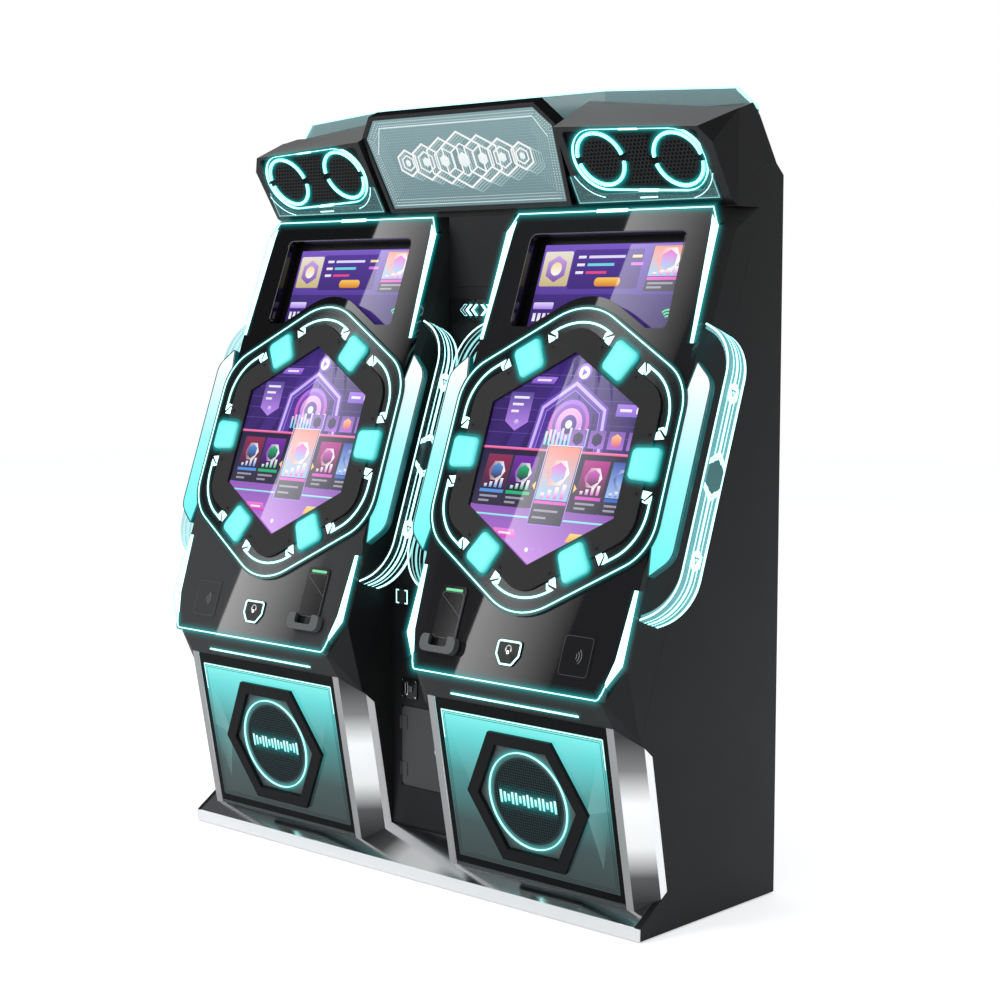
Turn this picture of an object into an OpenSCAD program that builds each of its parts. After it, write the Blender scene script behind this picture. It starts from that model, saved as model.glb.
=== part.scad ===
// Two-player rhythm arcade machine: a timber cabinet with two leaning screen consoles,
// a lit pedestal under each console, and a header with speaker pods and a marquee.
// X runs to the right, Y to the rear and Z up. The origin is on the floor, mid plan.

/* [Cabinet] */
// Clear width between the two consoles, filled by the centre column
column_w = 262; // [240:2:320]
// Margin of each console outside its outermost buttons
console_margin = 19; // [14:1:24]
// Distance from the origin to the rear edge of the side panels
rear_y = 359; // [350:1:400]
// Distance from the origin to the front strip of the base
base_front = 246; // [236:1:256]
// Thickness of the side panels, rear panel and woofer boards
board_t = 18; // [15:1:22]
// Gap under the cabinet, taken up by the levelling feet
floor_gap = 4; // [3:1:10]
// Thickness of the plinth boards
plinth_t = 36; // [30:1:40]
// Height of the front strip of the kick plate
strip_h = 36; // [30:1:44]
// Rise of the sloped kick plate behind the strip
kick_rise = 73; // [60:1:80]
// Thickness of the folded kick plate and of the pedestal cheeks
sheet_t = 3; // [2:0.5:4]

/* [Console] */
// Lean of the player faces away from upright
face_tilt = 19.8; // [17:0.1:22]
// Height of the lower edge of the face above the floor
face_low_z = 642.9; // [636:0.1:650]
// Distance from the origin forward to the lower edge of the face
face_low_fwd = 356.65; // [352:0.05:358]
// Length of the face from its lower to its upper edge
face_len = 1350; // [1330:2:1360]
// Thickness of the face panel
face_t = 20; // [16:1:24]
// Depth of the console shell behind the face panel
shell_d = 120; // [110:1:140]
// Wall of the console shell
shell_wall = 12; // [8:1:16]
// Clear width of the upper screen opening
top_screen_w = 554; // [500:2:580]
// Clear height of the upper screen opening
top_screen_h = 275; // [250:1:285]
// Setback of the upper screen behind the face panel
top_screen_back = 25; // [15:1:40]

/* [Button ring] */
// Height of the ring centre below the middle of the face
ring_drop = 46; // [36:1:56]
// Distance across the flats of the six-sided screen opening
screen_flats = 520; // [500:2:530]
// Distance across the flats of the raised ring plate
ring_flats = 812; // [804:2:820]
// Thickness of the raised ring plate
ring_t = 8; // [6:1:12]
// Distance of the button middles from the ring centre
button_r = 321; // [318:1:324]
// Length of a button cap outwards from the ring centre
button_len = 94; // [88:1:98]
// Width of a button cap
button_w = 94; // [88:1:98]
// Height of a button cap above the ring plate
button_rise = 14; // [10:1:20]
// Travel of a button
button_travel = 4; // [2:0.5:5]
// Gap around a button in its pocket
button_gap = 0.5; // [0.3:0.1:0.8]

/* [Rails and wings] */
// Reach of the curved rails beyond the console sides
rail_reach = 103; // [98:1:115]
// Thickness of the rail bands
rail_t = 8; // [6:1:10]
// Width of the rail bands, front to back
rail_band = 80; // [60:1:90]
// Length of a rail along the face
rail_len = 800; // [760:2:820]
// Reach of the lit wings beyond the console sides
wing_reach = 80; // [62:1:90]

/* [Pedestal] */
// Lean of the pedestal fronts, top forward
ped_tilt = 10.2; // [8:0.1:12]
// Height of the middle of the pedestal front above the floor
ped_z = 310; // [300:1:320]
// Distance from the origin forward to the middle of the pedestal front
ped_fwd = 249; // [244:1:254]
// Length from the middle of the pedestal front up to its top edge
ped_up = 261; // [250:1:270]
// Width of the pedestal front between the outer edges of its rails
ped_front_w = 670; // [640:2:690]
// Width of the silver rail on each edge of the pedestal front
rail_w = 25; // [18:1:32]
// Depth of the chrome cheeks, front to back
cheek_d = 53; // [44:1:60]
// Width of the cheek return on the cabinet side
cheek_back = 28; // [20:1:32]
// Slope of the console underside
under_slope = 39.5; // [36:0.5:42]
// Radius of the woofer grille
woofer_r = 119; // [105:1:124]

/* [Header] */
// Drop of the underside of the header below the top of the faces
header_drop = 3.1; // [0:0.1:6]
// Setback of the header front behind the top of the faces
header_back = 49.35; // [46:0.05:58]
// Lean of the speaker pod fronts, facing down
pod_tilt = 30; // [29:0.5:32]
// Distance between the ring lights of one pod
pod_pitch = 262; // [240:2:270]
// Outer radius of the pod ring lights
pod_ring_r = 86; // [76:1:86]
// Lean of the marquee, facing down
marquee_tilt = 24.6; // [22:0.2:27]
// Height of the marquee along its face
marquee_h = 310; // [290:1:312]
// Rise of the crown above the ridge of the header
crown_rise = 60; // [46:1:86]

/* [Centre column] */
// Width of the coin door
coin_door_w = 180; // [150:1:190]
// Height of the coin door
coin_door_h = 240; // [200:1:250]
// Opening angle of the coin door
coin_door_swing = 100; // [60:5:105]
// Width of the rear service door
rear_door_w = 700; // [500:10:760]
// Height of the rear service door
rear_door_h = 1000; // [800:10:1050]

/* [Fits] */
// Gap between neighbouring fixed pieces
fit = 0.2; // [0.1:0.05:0.3]
// Gap between a moving piece and what it runs in
run_gap = 0.5; // [0.3:0.1:0.8]

/* [Hidden] */
$fn = 48;
SIDES = [-1, 1];

// Main places
station_w = 2 * (button_r + button_len / 2 + console_margin);
station_x = (column_w + station_w) / 2;
half_w = station_w / 2;
cabinet_half = station_x + half_w;
inner_x = station_x - half_w;
board_x = cabinet_half - board_t;
far = 3000;

// Points of one rounded corner b between a and c
function unit(p) = p / norm(p);
function corner(a, b, c, r, n) =
    let (p = unit(a - b), q = unit(c - b), half = acos(min(1, max(-1, p * q))) / 2)
    r <= 0 ? [b] :
    let (mid = b + unit(p + q) * r / sin(half), from = b + p * r / tan(half) - mid,
         to = b + q * r / tan(half) - mid, a0 = atan2(from.y, from.x),
         turn = ((atan2(to.y, to.x) - a0 + 540) % 360) - 180)
    [for (i = [0 : n]) mid + r * [cos(a0 + turn * i / n), sin(a0 + turn * i / n)]];
// Outline with a radius at each corner
function rounded(points, radii, n = 6) =
    let (last = len(points))
    [for (i = [0 : last - 1])
        each corner(points[(i + last - 1) % last], points[i], points[(i + 1) % last],
                    is_list(radii) ? radii[i] : radii, n)];
function both_sides(points) =
    concat(points, [for (i = [len(points) - 1 : -1 : 0]) [-points[i].x, points[i].y]]);
// Rectangle of w by h about a middle
function box_points(w, h, at = [0, 0]) =
    [for (s = [[1, 1], [-1, 1], [-1, -1], [1, -1]]) at + [s.x * w / 2, s.y * h / 2]];
// Six-sided outline, corner up, of a given half width across flats
function hexagon(flat) = [for (i = [0 : 5]) flat / cos(30) * [cos(90 + 60 * i), sin(90 + 60 * i)]];
function ring_outline(flat, tip_r, side_r, n = 8) =
    rounded(hexagon(flat), [tip_r, side_r, side_r, tip_r, side_r, side_r], n);
// Meeting point of the lines p + s d and q + t e
function meet(p, d, q, e) =
    let (s = ((q.x - p.x) * e.y - (q.y - p.y) * e.x) / (d.x * e.y - d.y * e.x)) p + s * d;

// Side profile of the machine, as points of Y and Z
face_up = [sin(face_tilt), cos(face_tilt)];
face_half = face_len / 2;
face_fwd = face_low_fwd - face_half * face_up.x;
face_z = face_low_z + face_half * face_up.y;
face_in = [cos(face_tilt), -sin(face_tilt)];
function on_face(v, n) = [-face_fwd, face_z] + v * face_up + n * face_in;
header_z = on_face(face_half, 0).y - header_drop;
header_front = on_face(face_half, 0).x + header_back;
ped_up_dir = [-sin(ped_tilt), cos(ped_tilt)];
ped_in = [cos(ped_tilt), sin(ped_tilt)];
function on_ped(v, n) = [-ped_fwd, ped_z] + v * ped_up_dir + n * ped_in;
under_dir = [cos(under_slope), -sin(under_slope)];
ped_top = on_ped(ped_up, 0);
function under(n, lift = 0) = meet(ped_top + [0, lift], under_dir, on_ped(0, n), ped_up_dir);
strip_top = [-base_front, floor_gap + strip_h];
kick_run = 113;
kick_dir = unit([kick_run, kick_rise]);
kick_top = strip_top + [kick_run, kick_rise];
function kick_at(n, lift = 0) = meet(strip_top + [0, lift], kick_dir, on_ped(0, n), ped_up_dir);
cheek_depth = cheek_d + cheek_back;
shell_n = face_t + shell_d;
shell_low = meet(ped_top, under_dir, on_face(0, shell_n), face_up);
shell_high = meet([0, header_z], [1, 0], on_face(0, shell_n), face_up);
plinth_z = floor_gap + 8 + plinth_t;
plinth_low = floor_gap + 8;
plinth_front = -base_front + sheet_t + fit;
wedge_back = kick_top.x + 2;
rear_in = rear_y - 6 - board_t;
rear_out = rear_y - 6;

// Header profile
ridge = [header_front + 62, header_z + 274];
back_edge = [header_front + 94, header_z + 243];
tail = [rear_y - 35, header_z + 121];
seam_low = [header_front, header_z + 38];
seam_high = [header_front + 120, header_z + 121];
roof_front = [header_front, header_z + 255];
header_profile = [[header_front, header_z], roof_front, ridge, back_edge, tail, [tail.x, header_z]];
header_wall = 12;

// Centre column
column_fwd = face_fwd - 1;
column_knee = face_low_z + 257;
column_t = 12.5;
column_top_y = -column_fwd + (header_z - 310 - column_knee) * tan(face_tilt);
column_half = inner_x - fit;
coin_door_z = 354;
coin_plate_z = 527;
coin_plate_x = 55;
reader_z = 800;
chevron_z = header_z - 277;

// Ring and buttons
screen_flat = screen_flats / 2;
ring_flat = ring_flats / 2;
ring_tip_r = 200;
ring_lip = 6;
ring_edge = 74;
ring_side_r = 140;
flange = 4;
flange_t = 4;
cap_wall = 3;
function button_at(i) = button_r * [cos(60 * i), sin(60 * i)] - [0, ring_drop];
function button_outline(grow) =
    let (out = button_len / 2 + grow, wide = button_w / 2 + grow, narrow = wide - 4)
    rounded([[out, wide], [-out, narrow], [-out, -narrow], [out, -wide]], 16 + grow, 5);
face_outline = both_sides(concat(
    [[347, face_half], [half_w - 10, face_half - 56], [half_w - 6, 283], [half_w, 283 - 858]],
    corner([half_w, 283 - 858], [346, -face_half + 34], [338, -face_half], 20, 4),
    corner([346, -face_half + 34], [338, -face_half], [0, -face_half], 14, 4)));

// Moves the children to one station, mirrored for the left one
module station(side) mirror([side < 0 ? 1 : 0, 0, 0]) translate([station_x, 0, 0]) children();
module both_stations() for (side = SIDES) station(side) children();
// Frame on the face: X across, Y up the face, Z out to the player
module face_frame() translate([0, -face_fwd, face_z]) rotate([90 - face_tilt, 0, 0]) children();
// Frame on the pedestal front: X across, Y up the front, Z out to the player
module ped_frame() translate([0, -ped_fwd, ped_z]) rotate([90 + ped_tilt, 0, 0]) children();
// Plate on a frame, from depth z0 to z1
module slab(points, z0, z1) translate([0, 0, z0]) linear_extrude(z1 - z0) polygon(points);
// Board across the machine, drawn as a Y-Z profile between two X places
module across(points, x0, x1)
    translate([x0, 0, 0]) rotate([90, 0, 90]) linear_extrude(x1 - x0) polygon(points);
module mid_box(size, at) translate(at - size / 2) cube(size);
module rod_y(r, y0, y1) translate([0, y0, 0]) rotate([-90, 0, 0]) cylinder(r = r, h = y1 - y0);

// Plinth of thick boards with a wedge under the sloped kick plate
foot_x = cabinet_half - 125;
foot_front = -base_front + 56;
foot_rear = rear_in - 50;
foot_stem_r = 6;
kick_slope = kick_rise / kick_run;
kick_drop = sheet_t * norm([1, kick_slope]);
module base_frame() color("#3a3733") difference() {
    across([[plinth_front, plinth_low],
            strip_top + [sheet_t + fit, -kick_drop + sheet_t * kick_slope - fit],
            kick_top + [0, -kick_drop - fit], [wedge_back, kick_top.y - kick_drop - fit],
            [wedge_back, plinth_z], [rear_in - fit, plinth_z], [rear_in - fit, plinth_low]],
           -board_x + fit, board_x - fit);
    for (x = [-foot_x, foot_x], y = [foot_front, foot_rear])
        translate([x, y, plinth_low - 1]) cylinder(r = foot_stem_r + 0.3, h = plinth_t - 4);
}

// Polished sheet folded from the front strip up the slope
module kick_plate() color("#d8dbdd") {
    across([strip_top, kick_top, kick_top - [0, kick_drop],
            strip_top + [sheet_t, sheet_t * kick_slope - kick_drop],
            [-base_front + sheet_t, floor_gap], [-base_front, floor_gap]], -board_x + fit, board_x - fit);
    mid_box([2 * cabinet_half, sheet_t, strip_h - 2],
            [0, -base_front + sheet_t / 2, floor_gap + strip_h / 2 - 1]);
}

// Screw foot: a pad, a nut and a threaded stem
module levelling_foot(x, y) color("#4a4d50") translate([x, y, 0]) {
    cylinder(r = 28, h = 6);
    translate([0, 0, 5]) cylinder(r = 10, h = plinth_low - 5 - 0.3, $fn = 6);
    translate([0, 0, 5]) cylinder(r = foot_stem_r, h = plinth_low + plinth_t - 12);
}

// Two outer boards that carry the whole machine
side_outline = [
    [plinth_front - fit, floor_gap], [plinth_front - fit, floor_gap + strip_h - 2],
    strip_top + [sheet_t + 1, 0], kick_at(cheek_depth + fit), under(cheek_depth + fit),
    shell_low + [fit, 0], shell_high + [fit, 0], [header_front + fit, header_z],
    seam_low + [fit, 0], seam_high, tail, [rear_y, tail.y - 31], [rear_y, floor_gap]];
module side_panels() color("#2b2b2c") for (side = SIDES)
    across(side_outline, side > 0 ? board_x : -cabinet_half, side > 0 ? cabinet_half : -board_x);

// Rear board with the service door, fan and inlet cut-outs
door_z = plinth_z + 120 + rear_door_h / 2;
fan_z = header_z - 290;
fan_r = 58;
inlet_x = cabinet_half - 260;
inlet_z = plinth_z + 90;
inlet_w = 70;
inlet_h = 48;
door_lock_x = rear_door_w / 2 - 34;
module rear_panel() color("#262627") difference() {
    across([[rear_in, plinth_low], [rear_out, plinth_low], [rear_out, tail.y - 26], tail + [fit, -0.5],
            tail + [fit, -22], [rear_in, tail.y - 32]], -board_x + fit, board_x - fit);
    mid_box([rear_door_w, 3 * board_t, rear_door_h], [0, rear_in, door_z]);
    translate([0, 0, fan_z]) rod_y(fan_r, rear_in - 20, rear_out + 20);
    mid_box([inlet_w, 3 * board_t, inlet_h], [inlet_x, rear_in, inlet_z]);
}

// Service door with louvres, on a hinge along its left edge
hinge_r = 2.7;
hinge_gap = 0.3;
leaf_t = 1.6;
door_axis = [-rear_door_w / 2, rear_out + hinge_r + hinge_gap];
module rear_door() color("#2a2a2b") difference() {
    union() {
        mid_box([rear_door_w - 5, board_t, rear_door_h - 4], [0, (rear_in + rear_out) / 2, door_z]);
        for (k = [-1, 0, 1]) translate([door_axis.x, door_axis.y, door_z + k * rear_door_h * 0.38 - 40]) {
            cylinder(r = hinge_r, h = 80);
            translate([0, -hinge_r, 0]) cube([30, leaf_t, 80]);
            translate([4, -hinge_r - hinge_gap - 1, 0]) cube([26, 2, 80]);
        }
    }
    for (k = [0 : 9]) mid_box([rear_door_w * 0.5, 3 * board_t, 8], [0, rear_in, door_z + 180 + 22 * k]);
    translate([door_lock_x, 0, door_z]) rod_y(10, rear_in - 10, rear_out + 10);
}
module cam_lock(y_out, y_in, cam) color("#c9ccce") {
    rod_y(10 - run_gap, min(y_out, y_in) - 1, max(y_out, y_in) + 1);
    translate([0, y_out, 0]) rod_y(13, y_out > y_in ? 0.2 : -3.2, y_out > y_in ? 3.2 : -0.2);
    translate([0, y_in, 0]) mid_box([14, 3, cam], [0, y_in > y_out ? 1.5 : -1.5, cam / 2 - 7]);
}
module rear_door_lock() translate([door_lock_x, 0, door_z])
    cam_lock(rear_out, rear_in - run_gap, 52);

// Hollow header box with end caps above the side panels
module header_shell() color("#39393b") difference() {
    union() {
        across(header_profile, -board_x + fit, board_x - fit);
        for (side = SIDES)
            across([seam_low + [0, fit], roof_front, ridge, back_edge, tail + [0, fit],
                    seam_high + [0, fit]],
                   side > 0 ? board_x - 1 : -cabinet_half, side > 0 ? cabinet_half : -board_x + 1);
    }
    across([[header_front + header_wall, header_z + header_wall], roof_front + [header_wall, -9],
            ridge + [-3, -14], back_edge + [-9, -7], tail + [-header_wall, -3],
            [tail.x - header_wall, header_z + header_wall]], -board_x + 20, board_x - 20);
    for (x = [-station_x, 0, station_x]) mid_box([120, 80, 60], [x, header_front + 90, header_z]);
}

// Speaker pods: hollow shells on the header front, with a sunk speaker board
pod_ref = [header_front - 98, header_z + 127];
pod_recess = 8;
grille_t = 3;
driver_flange = 6;
pod_board_t = 10;
pod_low = -121;
pod_margin = [37, 11];
pod_end = 33;
pod_left = -pod_pitch / 2 - pod_ring_r - pod_margin[0];
pod_right = pod_pitch / 2 + pod_ring_r + pod_margin[1];
pod_mid = cabinet_half - pod_end - pod_right;
pod_in_x = pod_mid + pod_left;
pod_front = [[pod_left, pod_low], [pod_left, 114], [pod_right, 86], [pod_right + 8, pod_low]];
module pod_frame() translate([pod_mid, pod_ref.x, pod_ref.y]) rotate([90 + pod_tilt, 0, 0]) children();
module right_and_left() for (side = SIDES) mirror([side < 0 ? 1 : 0, 0, 0]) children();
// Points of the pod at the cabinet side, as Y and Z, and the height of its inner back corner: the top
// rises to the back and falls to the side
pod_side = [[header_front - 116, header_z + 160], [header_front - 26, header_z + 14],
            [header_front - fit, header_z + 2], [header_front - fit, header_z + 255]];
pod_peak = 306;
module pod_body(inset) hull() {
    pod_frame() translate([0, 0, -1]) linear_extrude(1)
        polygon([for (p = pod_front) p + inset * [p.x > 0 ? -1 : 1, p.y > 0 ? -1 : 1]]);
    for (p = pod_side)
        translate([cabinet_half - 1 - inset, p.x + (inset > 0 ? 4 : -0.5),
                   p.y - sign(p.y - pod_ref.y) * inset]) cube([1, 0.5, 1]);
    for (z = [2 + inset, inset > 0 ? 256 - inset : pod_peak])
        translate([pod_in_x + inset, header_front - fit - 0.5 + (inset > 0 ? 20 : 0), header_z + z])
            cube([1, 0.5, 1]);
}
pod_rings = [[-pod_pitch / 2, 7], [pod_pitch / 2, -6]];
function pod_panel(grow) = rounded(
    [[pod_left + 22 - grow, -98 - grow], [pod_left + 22 - grow, 98 + grow],
     [pod_right - 8 + grow, 77 + grow], [pod_right - 4 + grow, -98 - grow]], 12 + grow, 4);
pod_seat = pod_recess + grille_t + driver_flange;
module speaker_pods() color("#4b4c4e") right_and_left() difference() {
    pod_body(0);
    pod_frame() slab(pod_panel(0), -pod_seat, 60);
    intersection() {
        pod_body(8);
        pod_frame() slab(box_points(2 * far, 2 * far), -far, -pod_seat - pod_board_t);
    }
    for (p = pod_rings) pod_frame() translate([p.x, p.y, -pod_seat - pod_board_t - 2])
        cylinder(r = pod_ring_r - 14, h = pod_board_t + 4);
}

// Clear guard plates over the lower part of each pod front
function capsule(r, n = 12) = concat(
    [for (i = [0 : n]) pod_rings[1] + r * [cos(-90 + 180 * i / n), sin(-90 + 180 * i / n)]],
    [for (i = [0 : n]) pod_rings[0] + r * [cos(90 + 180 * i / n), sin(90 + 180 * i / n)]]);
lip_t = 5;
module pod_lips() color("#5f8f94", 0.6) right_and_left() pod_frame() difference() {
    slab([[pod_left + 2, pod_low + 1], [pod_left + 2, -34], [pod_right + 2, -34],
          [pod_right + 6, pod_low + 1]], fit, fit + lip_t);
    slab(capsule(pod_ring_r + 16), -1, lip_t + 2);
}

// Marquee: a hexagonal frame around a lit sheet, on a box fixed to the header
marquee_foot = [header_front - 40, header_z + 14];
marquee_d = 40;
marquee_lip = 14;
marquee_half = pod_in_x - 4;
function marquee_outline(shrink) = both_sides([
    [marquee_half - 24 - shrink, shrink], [marquee_half - shrink, marquee_h - 65 - shrink * 0.4],
    [marquee_half - 57 - shrink * 0.6, marquee_h - shrink]]);
module marquee_place()
    translate([0, marquee_foot.x, marquee_foot.y]) rotate([90 + marquee_tilt, 0, 0]) children();
module marquee_frame() color("#1d1e20") {
    marquee_place() difference() {
        slab(marquee_outline(0), -marquee_d, 0);
        slab(marquee_outline(marquee_lip), -marquee_d + 12, 1);
    }
    difference() {
        across([[header_front - fit, header_z + 60], [header_front - fit, header_z + 262],
                [header_front - 100, header_z + 262], [header_front - 30, header_z + 60]],
               -marquee_half + 70, marquee_half - 70);
        marquee_place() slab(box_points(2 * far, 2 * far), -marquee_d, far);
    }
}
sheet_lit_t = 6;
module marquee_panel() color("#86a0a5") marquee_place()
    slab(marquee_outline(marquee_lip + fit), -marquee_d + 12, -sheet_lit_t);

// Clear crown along the roof, swept back at both ends
crown_t = 8;
crown_z = ridge.y + crown_rise;
crown_bend = [442, header_front + 6];
crown_tip = [cabinet_half - 61, header_front + 72];
crown_end = [cabinet_half - 2, header_front + 83];
crown_path = [[-crown_end.x, crown_end.y], [-crown_tip.x, crown_tip.y], [-crown_bend.x, crown_bend.y],
              crown_bend, crown_tip, crown_end];
module crown_light() color("#9db4b8", 0.6) difference() {
    linear_extrude(crown_z) polygon(concat(
        [for (p = crown_path) p], [for (i = [len(crown_path) - 1 : -1 : 0]) crown_path[i] + [0, crown_t]]));
    across(concat([[-far, 0], [-far, roof_front.y]],
                  [for (p = [roof_front, ridge, back_edge, tail]) p + [0, fit]], [[far, 0]]), -far, far);
    for (side = SIDES) mirror([side < 0 ? 1 : 0, 0, 0]) {
        translate([0, far / 2, 0]) rotate([90, 0, 0]) linear_extrude(far)
            polygon([[crown_bend.x, crown_z], [crown_tip.x, crown_z - 0.25 * crown_rise],
                     [cabinet_half + 1, crown_z - 1.2 * crown_rise],
                     [cabinet_half + 1, crown_z + 1], [crown_bend.x, crown_z + 1]]);
    }
}

// Folded centre panel between the consoles, with a shelf for the cash box
shelf_z = coin_door_z - coin_door_h / 2 - 14;
column_front = [[-column_fwd, plinth_z], [-column_fwd, column_knee], [column_top_y, header_z - 310],
                [column_top_y, header_z - fit]];
coin_mech = [44, 48];
module centre_column() color("#3d3e40") difference() {
    union() {
        across(concat(column_front, [for (i = [3 : -1 : 0]) column_front[i] + [column_t, 0]]),
               -column_half, column_half);
        mid_box([2 * column_half, 3, 208], [0, column_top_y - 1.5, header_z - 104 - fit]);
        mid_box([2 * column_half - 40, 200, 12], [0, -column_fwd + column_t + 99, shelf_z + 6]);
    }
    mid_box([coin_door_w, 4 * column_t, coin_door_h], [0, -column_fwd, coin_door_z]);
    for (side = SIDES) mid_box([coin_mech.x + 2 * fit, 4 * column_t, coin_mech.y + 2 * fit],
                               [side * coin_plate_x, -column_fwd, coin_plate_z]);
}
// Lit arrows in a black tray across the column
module chevron_light() color("#101112") translate([0, column_top_y, chevron_z]) {
    mid_box([2 * column_half - 8, 6, 64], [0, -3 - fit, 0]);
    for (side = SIDES, k = [0 : 2]) translate([side * (18 + 24 * k), -6, 0]) rotate([90, 0, 0])
        linear_extrude(4) polygon([for (p = [[0, 30], [10, 30], [22, 0], [10, -30], [0, -30], [12, 0]])
            [side * p.x, p.y]]);
}
// Card pads on the faces and code readers on the column
reader_at = [230, 110 - face_half];
module readers() color("#1c1d1f") {
    both_stations() face_frame() slab(rounded(box_points(110, 120, reader_at), 8, 4), fit, 1.6);
    for (side = SIDES) translate([side * 70, -column_fwd, reader_z]) difference() {
        mid_box([50, 16, 44], [0, -8 - fit, 0]);
        mid_box([34, 8, 28], [0, -16, 0]);
    }
}

// Steel coin door on a hinge along its left edge
coin_door_t = 4;
coin_axis = [-coin_door_w / 2, -column_fwd - hinge_r - hinge_gap];
coin_lock_x = coin_door_w / 2 - 28;
module coin_door() color("#6b6e71") difference() {
    union() {
        translate([0, -column_fwd + coin_door_t, coin_door_z]) rotate([90, 0, 0])
            linear_extrude(coin_door_t) polygon(rounded(box_points(coin_door_w - 4, coin_door_h - 3), 12, 4));
        for (k = [-1, 1]) translate([coin_axis.x, coin_axis.y, coin_door_z + k * 70 - 20]) {
            cylinder(r = hinge_r, h = 40);
            translate([0, hinge_r - leaf_t, 0]) cube([24, leaf_t, 40]);
            translate([4, hinge_r + hinge_gap - 1, 0]) cube([20, 2, 40]);
        }
    }
    translate([coin_lock_x, 0, coin_door_z]) rod_y(10, -column_fwd - 20, -column_fwd + 20);
}
module coin_door_lock() translate([coin_lock_x, 0, coin_door_z])
    cam_lock(-column_fwd, -column_fwd + column_t + run_gap, 44);

// Coin entries: a plate with a slot, and the mechanism behind the panel
plate_size = [66, 60];
reject_size = [14, 18];
module coin_plates() color("#2e3032") for (side = SIDES)
    translate([side * coin_plate_x, -column_fwd, coin_plate_z]) difference() {
        union() {
            translate([0, -fit, 0]) rotate([90, 0, 0]) linear_extrude(4)
                polygon(rounded(box_points(plate_size.x, plate_size.y), 6, 4));
            mid_box([coin_mech.x, 74, coin_mech.y], [0, 37 - fit - 1, 0]);
        }
        mid_box([3.5, 40, 30], [-10, -4, 0]);
        mid_box([reject_size.x + 2 * run_gap, 40, reject_size.y + 2 * run_gap], [9, 0, 0]);
    }
module coin_reject(side) color("#b02a2a")
    mid_box([reject_size.x, 20, reject_size.y], [side * coin_plate_x + 9, -column_fwd + 2, coin_plate_z]);
// Steel takings box on the shelf
cash_size = [150, 140, 190];
module cash_box() color("#808488")
    translate([0, -column_fwd + column_t + 22 + cash_size.y / 2, shelf_z + 12 + fit + cash_size.z / 2])
        difference() {
            mid_box(cash_size, [0, 0, 0]);
            mid_box(cash_size - [4, 4, 0], [0, 0, 2]);
        }

// Console shells: hollow boxes that carry the faces, open in front and behind
fascia_low = ped_front_w / 2;
function shell_points(in, front, back) = concat(
    [for (p = face_outline) concat(p.x - sign(p.x) * in, on_face(p.y - sign(p.y) * in, front))],
    [for (s = SIDES) concat(s * (fascia_low - in), ped_top + [in * 0.3, in])],
    [for (s = SIDES) concat(s * (half_w - in), shell_low + (back - shell_n) * face_in + [0, in * 1.3])],
    [for (s = SIDES) concat(s * (half_w - in), shell_high + (back - shell_n) * face_in + [0, -in - fit])],
    [for (s = SIDES) concat(s * (half_w - in), on_face(face_half - 46, face_t + 40) + [0, -in])],
    [for (s = SIDES) concat(s * (347 - in), on_face(face_half, front) + [0, -in])]);
module point_hull(points) hull() polyhedron(points, [[for (i = [0 : len(points) - 1]) i]]);
module console_shells() color("#29292a") both_stations() difference() {
    point_hull(shell_points(0, face_t + fit, shell_n));
    point_hull(shell_points(shell_wall, face_t - 6, shell_n + 6));
}

// Glossy face panels with openings for screens and buttons
top_screen_v = face_half - 70 - top_screen_h / 2;
screen_corner = 15;
function at_ring(points) = [for (p = points) p - [0, ring_drop]];
module button_place(i) translate(button_at(i)) rotate(60 * i) children();
module top_opening(grow, z0, z1) difference() {
    slab(rounded(box_points(top_screen_w + 2 * grow, top_screen_h + 2 * grow, [0, top_screen_v]),
                 screen_corner + grow, 5), z0, z1);
    slab(at_ring(ring_outline(ring_flat + 24 - grow, ring_tip_r, ring_side_r)), z0 - 1, z1 + 1);
}
module face_panels() color("#121214") both_stations() face_frame() difference() {
    slab(face_outline, -face_t, 0);
    slab(at_ring(hexagon(screen_flat)), -face_t - 1, 1);
    top_opening(0, -face_t - 1, 1);
    for (i = [0 : 5]) button_place(i) slab(button_outline(flange + button_gap), -face_t - 1, 1);
    translate([0, jack_v, -face_t - 1]) cylinder(r = jack_body_r + fit, h = face_t + 2);
}

// Raised six-sided ring that frames the lower screen and holds the buttons
module button_rings() color("#3b3c3f") both_stations() face_frame() difference() {
    union() {
        slab(at_ring(ring_outline(ring_flat, ring_tip_r, ring_side_r)), fit, ring_t);
        slab(at_ring(ring_outline(ring_flat - ring_edge, 90, 90)), ring_t - 1, ring_t + ring_lip);
    }
    slab(at_ring(hexagon(screen_flat)), -1, ring_t + 10);
    for (i = [0 : 5]) button_place(i) slab(button_outline(button_gap), -1, ring_t + 10);
}

// Screens: a thick six-sided glass that stands forward in the ring, and a display in a black shroud
glass_t = 4;
glass_front = ring_t / 2;
module main_screens() color("#5a3fb0") both_stations() face_frame() {
    slab(at_ring(hexagon(screen_flat + 4)), -face_t - glass_t - fit, -face_t - fit);
    slab(at_ring(hexagon(screen_flat - fit)), -face_t - glass_t, glass_front);
    slab(box_points(screen_flats + 30, screen_flats / cos(30) + 40, [0, -ring_drop]),
         -face_t - glass_t - 24, -face_t - glass_t);
}
shroud = 8;
module top_screens() color("#5a3fb0") both_stations() face_frame() {
    difference() {
        slab(box_points(top_screen_w + 30, top_screen_h + 30, [0, top_screen_v]),
             -face_t - top_screen_back - 20, -face_t - fit);
        slab(box_points(top_screen_w + 30 - 2 * shroud, top_screen_h + 30 - 2 * shroud, [0, top_screen_v]),
             -face_t - top_screen_back, 0);
    }
}

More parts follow.
